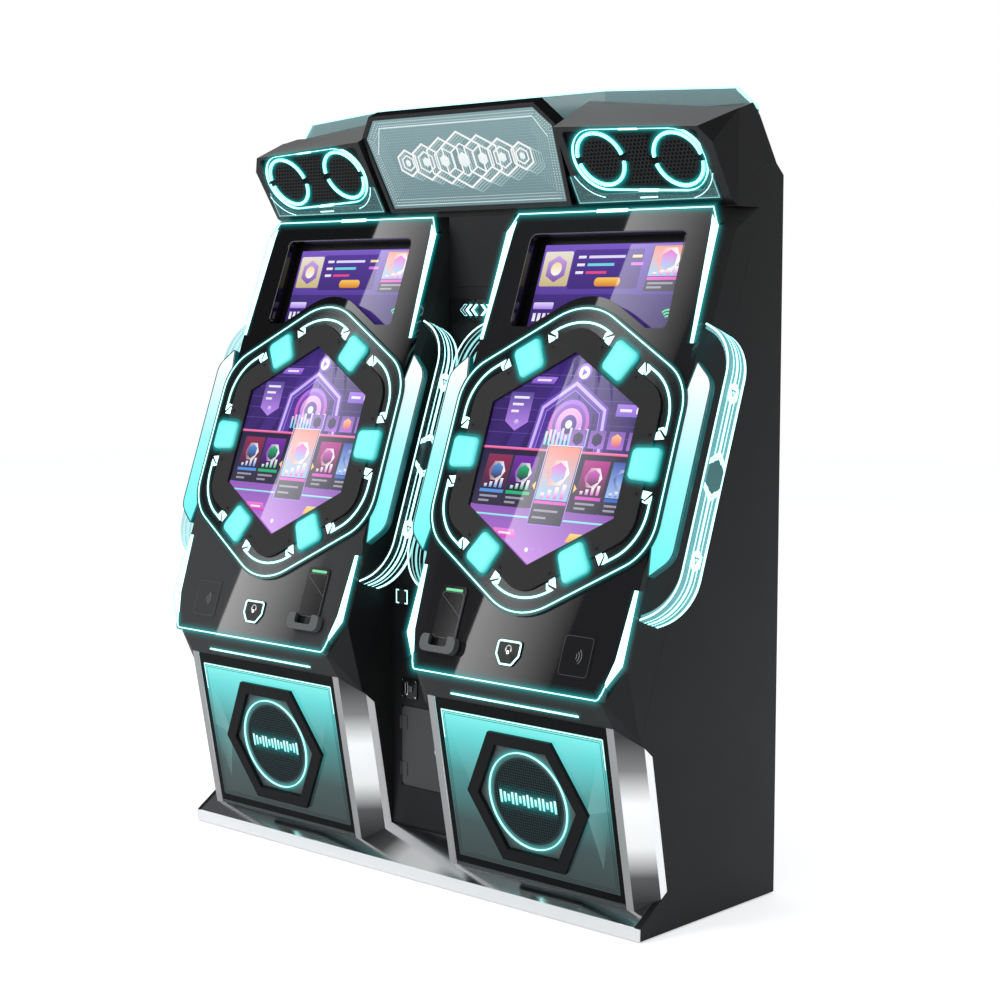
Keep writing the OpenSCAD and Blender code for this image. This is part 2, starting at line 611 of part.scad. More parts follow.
// Light lines let into the faces, and the bars under the consoles
line_w = 9;
line_t = 1.5;
arc_flat = ring_flat - 45;
module arc_lights() for (i = [0 : 5]) intersection() {
    difference() {
        slab(at_ring(ring_outline(arc_flat + 5, 190, 150)), ring_t + fit, ring_t + line_t);
        slab(at_ring(ring_outline(arc_flat - 5, 185, 145)), 0, 50);
    }
    translate([0, -ring_drop, 0]) rotate(60 * i + 30)
        slab([[0, 0], far * [1, tan(18)], far * [1, -tan(18)]], 0, 50);
}
upper_stripe = [[half_w - 40, face_half - 28], [half_w - 12, face_half - 58], [half_w - 8, 290],
                [half_w - 18, 290], [half_w - 36, face_half - 62]];
lower_stripe = [[half_w - 16, -375], [half_w - 4, -375], [half_w - 1, -572], [half_w - 38, -632],
                [half_w - 44, -622], [half_w - 27, -560]];
module face_lights() color("#d9ffff") {
    both_stations() face_frame() {
        difference() {
            slab(at_ring(ring_outline(ring_flat - 4, ring_tip_r, ring_side_r)),
                 ring_t + fit, ring_t + line_t);
            slab(at_ring(ring_outline(ring_flat - 4 - line_w, ring_tip_r, ring_side_r)), 0, 50);
        }
        arc_lights();
        slab(box_points(680, 6, [0, face_half - 5]), fit, line_t);
        slab(box_points(640, 6, [0, -face_half + 5]), fit, line_t);
        for (s = SIDES, stripe = [upper_stripe, lower_stripe])
            slab([for (p = stripe) [s * p.x, p.y]], fit, line_t);
    }
    both_stations() translate([0, ped_top.x, ped_top.y]) rotate([90 + fascia_tilt, 0, 0])
        slab(box_points(460, 8, [0, 24]), fit, 4);
}
fascia_dir = on_face(-face_half, face_t) - ped_top;
fascia_tilt = atan2(-fascia_dir.x, fascia_dir.y);

// Push buttons: hollow caps with a flange that stops under the ring
module button(side, i) color("#74fff6") station(side) face_frame() button_place(i) difference() {
    union() {
        slab(button_outline(0), -0.5, ring_t + button_rise);
        slab(button_outline(flange), -flange_t - 0.3, -0.3);
    }
    slab(button_outline(-cap_wall - 2), -flange_t - 1, ring_t + button_rise - cap_wall);
}
// Switch blocks on plates behind the face panel, one under each button
switch_out = half_w - shell_wall - button_r - 8;
switch_half = button_w / 2 + 10;
switch_h = face_t - flange_t - button_travel - 0.8;
module button_switches() color("#22272a") both_stations() face_frame() for (i = [0 : 5]) button_place(i) {
    difference() {
        slab(rounded([[switch_out, switch_half], [-button_len / 2 - flange, switch_half],
                      [-button_len / 2 - flange, -switch_half], [switch_out, -switch_half]], 6, 3),
             -face_t - 3, -face_t - fit);
        mid_box([10, 10, 20], [24, 24, -face_t]);
    }
    mid_box([28, 12, switch_h], [0, 0, -face_t + switch_h / 2 - 1]);
}

// Lit crescent wings at the sides of the faces
wing_high = [half_w + 18, 245];
wing_low = [half_w + 14, -341];
wing_root = [[half_w + 0.2, wing_high.y - 95], [half_w + 0.2, wing_low.y + 91]];
wing_out = [[half_w + wing_reach, wing_high.y - 55], [half_w + wing_reach, wing_low.y + 55]];
module wing_lights() color("#c8fffb") both_stations() face_frame() for (s = SIDES)
    slab([for (p = concat(
        corner(wing_root[0], wing_high, wing_out[0], 6, 3), corner(wing_high, wing_out[0], wing_out[1], 60, 6),
        corner(wing_out[0], wing_out[1], wing_low, 60, 6), corner(wing_out[1], wing_low, wing_root[1], 6, 3),
        [wing_root[1], wing_root[0]])) [s * p.x, p.y]], -face_t + 2, 0);

// Curved hand rails, bent from band and fixed to the console sides at both ends
rail_front = 25;
rail_bend = 140;
function rail_loop(x, v, r, root) = at_ring(rounded(
    [[root, v - 12], [half_w + x, v - 56], [half_w + x, 56 - v], [root, 12 - v]], [0, r, r, 0], 8));
module side_rails() color("#93a9ac") both_stations() face_frame() for (s = SIDES) difference() {
    slab([for (p = rail_loop(rail_reach, rail_len / 2 + 14, rail_bend, half_w + 0.1)) [s * p.x, p.y]],
         -rail_front - rail_band, -rail_front);
    slab([for (p = rail_loop(rail_reach - rail_t, rail_len / 2 + 5, rail_bend - rail_t, half_w - 20))
          [s * p.x, p.y]], -rail_front - rail_band - 1, -rail_front + 1);
}

// Phone rests: a charging plate and an open tray
cradle_at = [-243, 159 - face_half];
cradle = [92, 182];
tray = [130, 48];
tray_low = -100;
tray_in = 84;
tray_d = 24;
module phone_cradles() color("#2a2d2f") both_stations() face_frame() translate(cradle_at) difference() {
    union() {
        slab(rounded(box_points(cradle.x, cradle.y), 10, 4), fit, 4);
        slab(rounded(box_points(tray.x, tray.y, [0, tray_low + tray.y / 2]), [14, 14, 20, 20], 4), fit, tray_d);
    }
    slab(box_points(tray_in, tray.y + 12, [0, tray_low + 18 + tray.y / 2]), 4, tray_d - 4);
    slab(rounded(box_points(tray_in - 16, tray.y + 12, [0, tray_low + 24 + tray.y / 2]), 8, 3), 4, tray_d + 5);
}
// Headphone sockets on shield plates
jack_v = 92 - face_half;
jack_body_r = 9;
jack_bore_r = 1.8;
shield = both_sides([[44, 34], [44, -8], [22, -37]]);
module headphone_jacks() color("#e8ecec") both_stations() face_frame() translate([0, jack_v, 0])
    difference() {
        union() {
            slab(rounded(shield, [8, 10, 12, 12, 10, 8], 4), fit, 4);
            translate([0, 0, -face_t + 2]) cylinder(r = jack_body_r, h = face_t);
        }
        translate([0, 0, -12]) cylinder(r = jack_bore_r, h = 30);
    }

// Pedestals: a woofer board and an inner wall under each console
baffle_n = cheek_depth + 1;
module pedestals() color("#29292a") both_stations() {
    difference() {
        intersection() {
            ped_frame() slab(box_points(station_w - 2 * fit, 2 * far), -baffle_n - board_t, -baffle_n);
            across([[-far, plinth_z + fit], under(-400, -fit), under(baffle_n + 200, -fit),
                    [far, plinth_z + fit]], -half_w + fit, half_w - board_t - fit);
        }
        ped_frame() cylinder(r = woofer_r + 12, h = far, center = true);
    }
    across([kick_at(cheek_depth + fit, fit), under(cheek_depth + fit, -fit), shell_low + [fit, -fit],
            meet([-column_fwd + column_t, 0], [0, 1], on_face(0, shell_n + fit), face_up),
            [-column_fwd + column_t, kick_top.y + fit], [wedge_back, kick_top.y + fit],
            kick_top + [0, fit]], -half_w, -half_w + shell_wall);
}

// Lit front panels with a black border, clamped behind the cheek flanges
panel_t = 10;
hex_w = 92;
hex_h = 153;
hex_tip = 177;
hex_rim = 35;
hex_seat = 4;
function ped_hex(grow) = let (w = hex_w + 0.6 * grow, h = hex_h + grow, tip = hex_tip + 1.17 * grow)
    both_sides([[w, h], [tip, 0], [w, -h]]);
module ped_trim() intersection() {
    children();
    across([kick_at(-60, fit), under(-60, -fit), under(160, -fit), kick_at(160, fit)],
           -half_w - 1, half_w + 1);
}
module pedestal_light_panels() color("#66e6e0") both_stations() ped_trim() ped_frame() difference() {
    slab(box_points(ped_front_w - 10, 2 * far), -sheet_t - panel_t - fit, -sheet_t - fit);
    slab(ped_hex(hex_seat + 1), -far, far);
}
module pedestal_hex_frames() color("#161718") both_stations() ped_frame() difference() {
    slab(ped_hex(hex_rim), -sheet_t, 9);
    slab(ped_hex(0), -far, far);
}
// Chrome cheeks, folded from the front rail round to the cabinet side
cheek = [[fascia_low - rail_w, 0], [fascia_low, 0], [half_w, -cheek_d], [half_w, -cheek_depth],
         [half_w - sheet_t, -cheek_depth], [half_w - sheet_t, -cheek_d - 1.2],
         [fascia_low - 1.2, -sheet_t], [fascia_low - rail_w, -sheet_t]];
module pedestal_cheeks() color("#c5c9cc") both_stations() for (s = SIDES) ped_trim() ped_frame()
    rotate([90, 0, 0]) linear_extrude(2 * far, center = true) polygon([for (p = cheek) [s * p.x, p.y]]);

// Speakers: basket, cone and magnet turned as one
module driver(r, depth, flange_h, hole) rotate_extrude() polygon([
    [0, -depth * 0.5], [hole * 0.35, -depth * 0.5], [hole - 8, flange_h - 1], [hole - 2, flange_h],
    [r, flange_h], [r, 0], [hole, 0], [hole * 0.62, -depth * 0.62], [hole * 0.6, -depth], [0, -depth]]);
woofer_flange = 8;
module speaker_drivers() color("#1a1a1b") {
    both_stations() ped_frame() translate([0, 0, -baffle_n + fit])
        driver(woofer_r + 30, 90, woofer_flange, woofer_r + 11);
    right_and_left() for (p = pod_rings) pod_frame()
        translate([p.x, p.y, -pod_seat + fit])
            driver(pod_ring_r - 4, 44, driver_flange - 2 * fit, pod_ring_r - 15);
}
// Grilles: one plate over each pod's pair of speakers, one over each woofer
module speaker_grilles() color("#2c2f30") {
    both_stations() ped_frame() slab(ped_hex(hex_seat), -sheet_t - 6, -sheet_t - fit);
    right_and_left() pod_frame() slab(pod_panel(-fit), -pod_recess - grille_t, -pod_recess);
}
// Light rings: split pairs on the pods, one round each woofer grille
ring_light_w = 14;
module ring_lights() color("#d9ffff") {
    both_stations() ped_frame() translate([0, 0, -sheet_t]) difference() {
        cylinder(r = woofer_r + 24, h = 5);
        translate([0, 0, -1]) cylinder(r = woofer_r + 16, h = 10);
    }
    right_and_left() for (p = pod_rings) pod_frame() translate([p.x, p.y, -pod_recess + fit]) difference() {
        cylinder(r = pod_ring_r, h = 8);
        translate([0, 0, -1]) cylinder(r = pod_ring_r - ring_light_w, h = 10);
        mid_box([3 * pod_ring_r, 14, 30], [0, 0, 0]);
    }
}

// Computer, amplifier and power supply in a row on the plinth
computer = [360, 200, 160];
amplifier = [250, 200, 70];
supply = [215, 115, 50];
case_gap = 115;
case_y = rear_in - 185;
amplifier_x = -station_x + (computer.x + amplifier.x) / 2 + case_gap;
supply_x = amplifier_x + (amplifier.x + supply.x) / 2 + case_gap;
module electronics_modules() color("#777b7e") translate([0, case_y, plinth_z + fit]) {
    mid_box(computer, [-station_x, 0, computer.z / 2]);
    mid_box(amplifier, [amplifier_x, 0, amplifier.z / 2]);
    mid_box(supply, [supply_x, 0, supply.z / 2]);
}
// Rear fan: a square frame with a spoked hub, and a rotor on its pin
fan_d = 25;
fan_pin_r = 4;
fan_y = rear_in - fan_d - fit;
module cooling_fan_frame() color("#1e1f20") translate([0, fan_y, fan_z]) {
    difference() {
        mid_box([2 * fan_r + 6, fan_d, 2 * fan_r + 6], [0, fan_d / 2, 0]);
        rod_y(fan_r - 1, -1, fan_d + 1);
    }
    rod_y(20, 0, 3);
    rod_y(fan_pin_r - 0.3, 0, 20);
    for (a = [0 : 90 : 270]) rotate([0, a + 45, 0]) mid_box([fan_r + 2, 3, 6], [(fan_r + 2) / 2, 1.5, 0]);
}
module cooling_fan_rotor() color("#2d2f31") translate([0, fan_y, fan_z]) {
    difference() {
        union() {
            rod_y(21, 4, 23);
            for (a = [0 : 360 / 7 : 359]) rotate([0, a, 0]) translate([36, 13.5, 0]) rotate([35, 0, 0])
                mid_box([36, 2, 20], [0, 0, 0]);
        }
        rod_y(fan_pin_r, 3, 20.5);
    }
}
// Mains inlet with a rocker switch
rocker = [14, 22];
inlet_shift = 16;
module power_inlet() color("#1b1c1d") translate([inlet_x, 0, inlet_z]) difference() {
    union() {
        mid_box([inlet_w + 14, 3, inlet_h + 12], [0, rear_out + 1.5 + fit, 0]);
        mid_box([inlet_w - 2 * fit, 40, inlet_h - 2 * fit], [0, rear_out - 17, 0]);
    }
    mid_box([27, 30, 20], [-inlet_shift, rear_out, 0]);
    mid_box([rocker.x + 2 * run_gap, 30, rocker.y + 2 * run_gap + 1.6], [inlet_shift + 4, rear_out, 0]);
}
rocker_half = rocker.y / 2;
rocker_face = [[-3, -9], [-3, 9], [3, rocker_half], [4.5, rocker_half], [2.5, 0],
               [4.5, -rocker_half], [3, -rocker_half]];
module power_switch() color("#a92222") translate([inlet_shift + 4 + inlet_x, rear_out - 2, inlet_z]) {
    rotate([0, 90, 0]) cylinder(r = 4, h = rocker.x, center = true);
    translate([-rocker.x / 2, 0, 0]) rotate([90, 0, 90]) linear_extrude(rocker.x) polygon(rocker_face);
}

base_frame();
kick_plate();
levelling_foot(-foot_x, foot_front);  // foot_front_left
levelling_foot(foot_x, foot_front);  // foot_front_right
levelling_foot(-foot_x, foot_rear);  // foot_rear_left
levelling_foot(foot_x, foot_rear);  // foot_rear_right
side_panels();
rear_panel();
rear_door();
rear_door_lock();
header_shell();
speaker_pods();
pod_lips();
marquee_frame();
marquee_panel();
crown_light();
centre_column();
chevron_light();
readers();
coin_door();
coin_door_lock();
coin_plates();
coin_reject(-1);  // left_coin_reject
coin_reject(1);  // right_coin_reject
cash_box();
console_shells();
face_panels();
button_rings();
main_screens();
top_screens();
face_lights();
button(-1, 0);  // left_button_0
button(-1, 1);  // left_button_1
button(-1, 2);  // left_button_2
button(-1, 3);  // left_button_3
button(-1, 4);  // left_button_4
button(-1, 5);  // left_button_5
button(1, 0);  // right_button_0
button(1, 1);  // right_button_1
button(1, 2);  // right_button_2
button(1, 3);  // right_button_3
button(1, 4);  // right_button_4
button(1, 5);  // right_button_5
button_switches();
wing_lights();
side_rails();
phone_cradles();
headphone_jacks();
pedestals();
pedestal_light_panels();
pedestal_hex_frames();
pedestal_cheeks();
speaker_drivers();
speaker_grilles();
ring_lights();
electronics_modules();
cooling_fan_frame();
cooling_fan_rotor();
power_inlet();
power_switch();
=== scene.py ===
"""Looks of a two-player rhythm arcade machine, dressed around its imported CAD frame."""
import math
from functools import partial

import bmesh
import bpy
from mathutils import Matrix, Vector
from mathutils.geometry import tessellate_polygon


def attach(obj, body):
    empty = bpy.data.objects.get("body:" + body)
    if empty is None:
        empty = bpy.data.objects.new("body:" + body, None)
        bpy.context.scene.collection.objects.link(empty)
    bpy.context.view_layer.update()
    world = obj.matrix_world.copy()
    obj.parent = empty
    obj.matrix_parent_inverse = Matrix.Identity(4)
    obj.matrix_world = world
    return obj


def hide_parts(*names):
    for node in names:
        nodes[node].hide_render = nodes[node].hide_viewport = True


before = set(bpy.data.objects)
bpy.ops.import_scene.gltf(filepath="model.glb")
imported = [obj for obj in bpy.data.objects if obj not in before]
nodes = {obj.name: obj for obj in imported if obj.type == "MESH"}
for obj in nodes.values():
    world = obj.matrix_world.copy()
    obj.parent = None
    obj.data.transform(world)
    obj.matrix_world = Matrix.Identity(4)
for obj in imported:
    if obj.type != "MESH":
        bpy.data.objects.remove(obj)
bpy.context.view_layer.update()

# Camera
# A plain camera in front of the right side of the machine, at the height of a standing player.
# Its place, turn and lens come from straight edges of the cabinet in the photograph.
MM = 0.001
camera_data = bpy.data.cameras.new("camera")
camera_data.sensor_width = 36
camera_data.lens = 71.09
camera_data.shift_x = -0.0018
camera_data.shift_y = 0.0013
camera = bpy.data.objects.new("camera", camera_data)
camera.location = (4.0045, -4.1604, 1.6623)
camera.rotation_euler = (math.radians(90 - 5.82), 0, math.radians(42.48))
bpy.context.scene.collection.objects.link(camera)
bpy.context.scene.camera = camera

# Floor and studio light
# A wide pale floor under an even white room, with one large soft lamp on the players' side and a
# weak one behind. Mirror-like surfaces see a room that is bright at eye level and dimmer above.
bpy.context.scene.view_settings.view_transform = "Standard"


def wired(node, inputs):
    """Sets inputs of a node: a socket is linked to its input, anything else becomes its value."""
    for key, value in inputs.items():
        socket = node.inputs[key]
        if isinstance(value, bpy.types.NodeSocket):
            node.id_data.links.new(value, socket)
        else:
            socket.default_value = (*value, 1) if socket.type == "RGBA" else value


def adder(tree):
    """A function that adds a shader node to a tree, sets and links its inputs and gives its outputs."""
    def add(kind, inputs=None, **settings):
        node = tree.nodes.new("ShaderNode" + kind)
        for key, value in settings.items():
            setattr(node, key, value)
        wired(node, inputs or {})
        return node.outputs

    return add


def opened(made):
    """A material, its main shader and a function that adds nodes to it."""
    return made, made.node_tree.nodes["Principled BSDF"], adder(made.node_tree)


def shader(name):
    """A new material, with its main shader and a function that adds nodes to it."""
    made = bpy.data.materials.new(name)
    made.use_nodes = True
    return opened(made)


def ranged(add, value, source=(0, 1), target=(0, 1)):
    """A value carried over from one range to another."""
    return add("MapRange", {"Value": value, "From Min": source[0], "From Max": source[1],
                            "To Min": target[0], "To Max": target[1]})[0]


def maths(add, operation, *values):
    """One step of arithmetic on values and sockets."""
    return add("Math", dict(enumerate(values)), operation=operation)[0]


def ramp(add, share, colours):
    """A colour from a row of stops, each with its position."""
    outputs = add("ValToRGB", {"Fac": share})
    stops = outputs[0].node.color_ramp.elements
    stops[0].position, stops[1].position = colours[0][0], colours[-1][0]
    for position, _ in colours[1:-1]:
        stops.new(position)
    for stop, (_, colour) in zip(stops, colours):
        stop.color = (*colour, 1)
    return outputs["Color"]


ROOM_BANDS = ((0, (0.16, 0.16, 0.17)), (0.34, (0.30,) * 3), (0.45, (0.95,) * 3), (0.54, (0.85,) * 3),
              (0.60, (0.22,) * 3), (0.67, (0.07,) * 3), (0.80, (0.07,) * 3), (1, (0.25, 0.26, 0.27)))
room = bpy.data.worlds.new("room")
bpy.context.scene.world = room
room.use_nodes = True
add = adder(room.node_tree)
ray = add("LightPath")
way = add("SeparateXYZ", {0: add("TexCoord")["Generated"]})
mirrored_room = add("Background", {"Color": ramp(add, ranged(add, way["Z"], (-1, 1)), ROOM_BANDS),
                                   "Strength": ranged(add, way["Y"], (-0.1, 0.35), (1.0, 0.2))})[0]
seen_room = add("Background", {"Color": (1, 1, 1)})[0]
room_light = room.node_tree.nodes["Background"]
wired(room_light, {"Color": (0.96, 0.98, 1.0), "Strength": 0.62})
mirror_or_lamp = add("MixShader", {0: ray["Is Glossy Ray"], 1: room_light.outputs[0], 2: mirrored_room})[0]
clear_ray = maths(add, "MAXIMUM", ray["Is Camera Ray"], ray["Is Transmission Ray"])
seen_or_not = add("MixShader", {0: clear_ray, 1: mirror_or_lamp, 2: seen_room})[0]
wired(room.node_tree.nodes["World Output"], {0: seen_or_not})

for name, watts, size, spot, aim in (
        ("player_lamp", 150, 2.6, (-1.6, -4.2, 3.6), (0, 0, 1.1)),
        ("rear_lamp", 45, 2.4, (2.6, 3.6, 3.2), (0, 0, 1.2))):
    lamp_data = bpy.data.lights.new(name, "AREA")
    lamp_data.energy = watts
    lamp_data.size = size
    lamp = bpy.data.objects.new(name, lamp_data)
    lamp.location = spot
    lamp.rotation_euler = (Vector(aim) - Vector(spot)).to_track_quat("-Z", "Y").to_euler()
    lamp.visible_glossy = False
    bpy.context.scene.collection.objects.link(lamp)

FLOOR_REACH = 14
pale_floor, coat, add = shader("pale_floor")
wired(coat, {"Base Color": (0.86, 0.87, 0.88), "Roughness": 0.7})
lifted = add("AddShader", {0: coat.outputs[0], 1: add("Emission", {"Strength": 0.52})[0]})[0]
seen_floor = add("MixShader", {0: add("LightPath")["Is Camera Ray"], 1: coat.outputs[0], 2: lifted})[0]
wired(pale_floor.node_tree.nodes["Material Output"], {0: seen_floor})
floor_mesh = bpy.data.meshes.new("floor")
floor_mesh.from_pydata([(x * FLOOR_REACH, y * FLOOR_REACH, 0) for x, y in ((-1, -1), (1, -1), (1, 1), (-1, 1))],
                       [], [(0, 1, 2, 3)])
floor_mesh.materials.append(pale_floor)
floor = bpy.data.objects.new("floor", floor_mesh)
bpy.context.scene.collection.objects.link(floor)

# Plinth and levelling feet
# Stained plywood boards stand on four zinc-plated screw feet. Nothing of them shows from the front
# but a thin shadow line under the folded strip.


def mixed(add, share, first, second):
    """A colour between two others, by a share that is wired in."""
    return add("Mix", {0: share, 6: first, 7: second}, data_type="RGBA")[2]


def speckled(add, scale, detail=2, place=None):
    """Noise that is fixed to the piece."""
    return add("TexNoise", {"Vector": place or add("TexCoord")["Object"], "Scale": scale, "Detail": detail})["Fac"]


def dented(add, height, strength, depth=0.0004):
    """A surface raised and sunk by a height that is wired in."""
    return add("Bump", {"Height": height, "Strength": strength, "Distance": depth})["Normal"]


def coated(name, colour, rough=0.5, grain=2.0, bump=0.15, tone=0.12, metal=0.0, specular=0.5, coat_weight=0.0,
           spread=0.07):
    """Paint, laminate or moulding: fine grain in the bump, slow drifts of tone and sheen."""
    made, skin, add = shader(name)
    slow = speckled(add, 5, 4)
    wired(skin, {
        "Normal": dented(add, speckled(add, 1 / (grain * MM), 3), bump),
        "Base Color": mixed(add, slow, [c * (1 - tone) for c in colour], [min(1, c * (1 + tone)) for c in colour]),
        "Roughness": ranged(add, slow, target=(max(0.02, rough - spread), min(1, rough + spread))),
        "Metallic": metal, "Specular IOR Level": specular, "Coat Weight": coat_weight, "Coat Roughness": 0.06})
    return made


def broken_edge(piece, edge, angle):
    """Rounds off edges that are sharper than an angle, by that many millimetres."""
    bevel = piece.modifiers.new("broken_edge", "BEVEL")
    bevel.width = edge * MM
    bevel.segments = 2
    bevel.limit_method = "ANGLE"
    bevel.angle_limit = math.radians(angle)
    return bevel


def dress(node, finish, edge=0.0):
    """Gives a CAD node its finish, and breaks its sharp edges by that many millimetres."""
    piece = nodes[node]
    piece.data.materials.clear()
    piece.data.materials.append(finish)
    if edge:
        weld = piece.modifiers.new("weld", "WELD")
        weld.merge_threshold = 0.00002
        broken_edge(piece, edge, 28).harden_normals = True
    return piece


stained_ply = coated("stained_ply", (0.05, 0.045, 0.04), rough=0.7, grain=4, bump=0.4, tone=0.3)
zinc = coated("zinc", (0.52, 0.53, 0.55), rough=0.35, grain=1.2, bump=0.1, metal=1.0)
dress("base_frame", stained_ply, 1.0)
for corner in ("front_left", "front_right", "rear_left", "rear_right"):
    dress("foot_" + corner, zinc, 0.6)

# Kick plate
# One polished steel sheet, folded along the foot of the machine: an upright strip in front and a slope
# behind it that runs up to the pedestals. It is screwed to the plinth.


def rolled_metal(name, colour, rough, polish=0.0):
    """Bare metal with the fine parallel lines of rolling or brushing, stretched along the machine's width."""
    made, skin, add = shader(name)
    stretch = add("Mapping", {"Vector": add("TexCoord")["Object"], "Scale": (2, 260, 260)})[0]
    lines = speckled(add, 3, 5, stretch)
    wired(skin, {
        "Roughness": ranged(add, lines, target=(rough - 0.05, rough + 0.08)),
        "Normal": dented(add, lines, 0.06 * (1 - polish), 0.0003),
        "Base Color": mixed(add, lines, [c * 0.93 for c in colour], [min(1, c * 1.05) for c in colour]),
        "Metallic": 1.0})
    return made


def axis_of(add, source, axis):
    """One part of a piece's own place or of the way it faces."""
    return add("SeparateXYZ", {0: add("TexCoord")[source]})[axis]


def kick_finish():
    """Polished sheet whose upright strip is made a near-white, almost non-metal finish by the way it faces: a
    painted reflection of the bright room.
    """
    made, skin, add = opened(rolled_metal("polished_sheet", (0.92, 0.93, 0.94), 0.10, polish=0.7))
    wired(skin, {"Metallic": ranged(add, axis_of(add, "Normal", "Y"), (-0.95, -0.8), (0.15, 1))})
    return made


dress("kick_plate", kick_finish(), 0.8)

# Cabinet boards
# Charcoal laminate on thick board: two side panels that carry the whole machine, a rear panel with a
# louvred service door on knuckle hinges, and the hollow header box that ties the tops together.


def toned(finish, colour, start, end, axis="Z", source="Object"):
    """The same finish, turning to another colour along an axis of its place or of the way it faces: painted light
    and shade.
    """
    made, skin, add = opened(finish)
    before = skin.inputs["Base Color"].links[0].from_socket
    wired(skin, {"Base Color": mixed(add, ranged(add, axis_of(add, source, axis), (start, end)), before, colour)})
    return made


# Painted light: the laminate turns lighter towards the back of the machine, along Y.
charcoal = toned(coated("charcoal_laminate", (0.0125, 0.0125, 0.0130), rough=0.46, grain=0.9, bump=0.12, tone=0.1,
                        specular=0.32), (0.0235, 0.0235, 0.0240), -0.2, 0.36, "Y")
for board, edge in (("side_panels", 1.2), ("rear_panel", 0.8), ("rear_door", 0.8)):
    dress(board, charcoal, edge)
chrome = rolled_metal("chrome", (0.80, 0.81, 0.83), 0.07, polish=1.0)
dress("rear_door_lock", chrome, 0.5)

# Speaker pods
# Two moulded dark pods on the header front, with a painted highlight that makes their upward faces a lighter
# grey, each with a sunk board that holds a pair of speakers behind a honeycomb grille. Split light rings stand
# round the speakers and a thin light line runs round the pair.
POD_MIDDLE = (644, 52, 2037)
POD_LEAN = 30
POD_SUNK = 8
POD_RING = 86
POD_SPEAKERS = ((-131, 7), (131, -6))
LAMP_PITCH = 12.0
CELL_PITCH = 13
CELL_BAR = 2.4


def leaning(middle, lean, side=1):
    """Place of a point (across, up, out) in millimetres on a front that leans over by that angle."""
    tilt = math.radians(lean)
    x, y, z = middle

    def put(u, v, n=0.0):
        return Vector((side * (x + u), y - v * math.sin(tilt) - n * math.cos(tilt),
                       z + v * math.cos(tilt) - n * math.sin(tilt))) * MM

    return put


def arc(middle, radius, start, end, steps):
    """Points of an arc, from one angle to another in degrees."""
    turns = [math.radians(start + (end - start) * i / steps) for i in range(steps + 1)]
    return [(middle[0] + radius * math.cos(t), middle[1] + radius * math.sin(t)) for t in turns]


def rounded(points, radius, steps=6):
    """A closed outline with its corners rounded, by one radius or one for each corner."""
    radii = radius if isinstance(radius, (list, tuple)) else [radius] * len(points)
    made = []
    for i, (point, r) in enumerate(zip(points, radii)):
        b = Vector(point)
        p = (Vector(points[i - 1]) - b).normalized()
        q = (Vector(points[(i + 1) % len(points)]) - b).normalized()
        half = p.angle(q) / 2
        if r <= 0:
            made.append(tuple(b))
            continue
        middle = b + (p + q).normalized() * (r / math.sin(half))
        start = b + p * (r / math.tan(half)) - middle
        turn = start.angle_signed(b + q * (r / math.tan(half)) - middle)
        first = math.degrees(math.atan2(start.y, start.x))
        made += arc(middle, r, first, first - math.degrees(turn), steps)
    return made


def moved_aside(path, aside, closed=False):
    """The path moved sideways by a distance, with its corners mitred."""
    made = []
    last = len(path) - 1
    for i, point in enumerate(path):
        before = Vector(path[i - 1]) if closed or i else None
        after = Vector(path[(i + 1) % len(path)]) if closed or i < last else None
        here = Vector(point)
        runs = [(b - a).normalized() for a, b in ((before, here), (here, after)) if a is not None and b is not None
                and (b - a).length > 1e-6]
        normals = [Vector((-r.y, r.x)) for r in runs]
        lean_to = sum(normals, Vector((0, 0))).normalized()
        made.append(tuple(here + lean_to * (aside / max(0.4, lean_to.dot(normals[0])))))
    return made


def blank():
    """An empty piece: its points, its faces and, where it is painted, a colour for each point."""
    return {"points": [], "faces": [], "ink": []}


def lofted(piece, rows, closed=False, tube=False):
    """Adds rows of points with a skin from each to the next, and from the last to the first for a tube."""
    first, count = len(piece["points"]), len(rows[0])
    piece["points"] += [point for row in rows for point in row]
    for row in range(len(rows) if tube else len(rows) - 1):
        a, b = first + row * count, first + (row + 1) % len(rows) * count
        piece["faces"] += [(a + i, a + (i + 1) % count, b + (i + 1) % count, b + i)
                           for i in range(count if closed else count - 1)]
    return first


def ribbon(piece, path, width, low, high, put, closed=False, crown=0.4):
    """A raised strip along a path, a little domed across its width."""
    rows = ((-0.5, low), (-0.5, high - crown), (-0.25, high), (0.25, high), (0.5, high - crown), (0.5, low))
    first = lofted(piece, [[put(u, v, rise) for u, v in moved_aside(path, share * width, closed)]
                           for share, rise in rows], closed, tube=True)
    if not closed:
        for i in (0, len(path) - 1):
            piece["faces"].append(tuple(first + row * len(path) + i for row in range(len(rows))))


def slab(piece, outline, low, high, put, hole=None):
    """A flat plate of one thickness. A hole has as many points as the outline, in the same order."""
    count = len(outline)
    first = lofted(piece, [[put(u, v, rise) for u, v in outline] for rise in (low, high)], True)
    if hole is None:
        for face in tessellate_polygon([[Vector((u, v, 0)) for u, v in outline]]):
            piece["faces"] += [tuple(level + i for i in face) for level in (first, first + count)]
        return
    inner = len(piece["points"])
    for rise in (low, high):
        piece["points"] += [put(u, v, rise) for u, v in hole]
    for i in range(count):
        j = (i + 1) % count
        piece["faces"].append((inner + i, inner + j, inner + count + j, inner + count + i))
        for level in (0, count):
            piece["faces"].append((first + level + i, first + level + j, inner + level + j, inner + level + i))


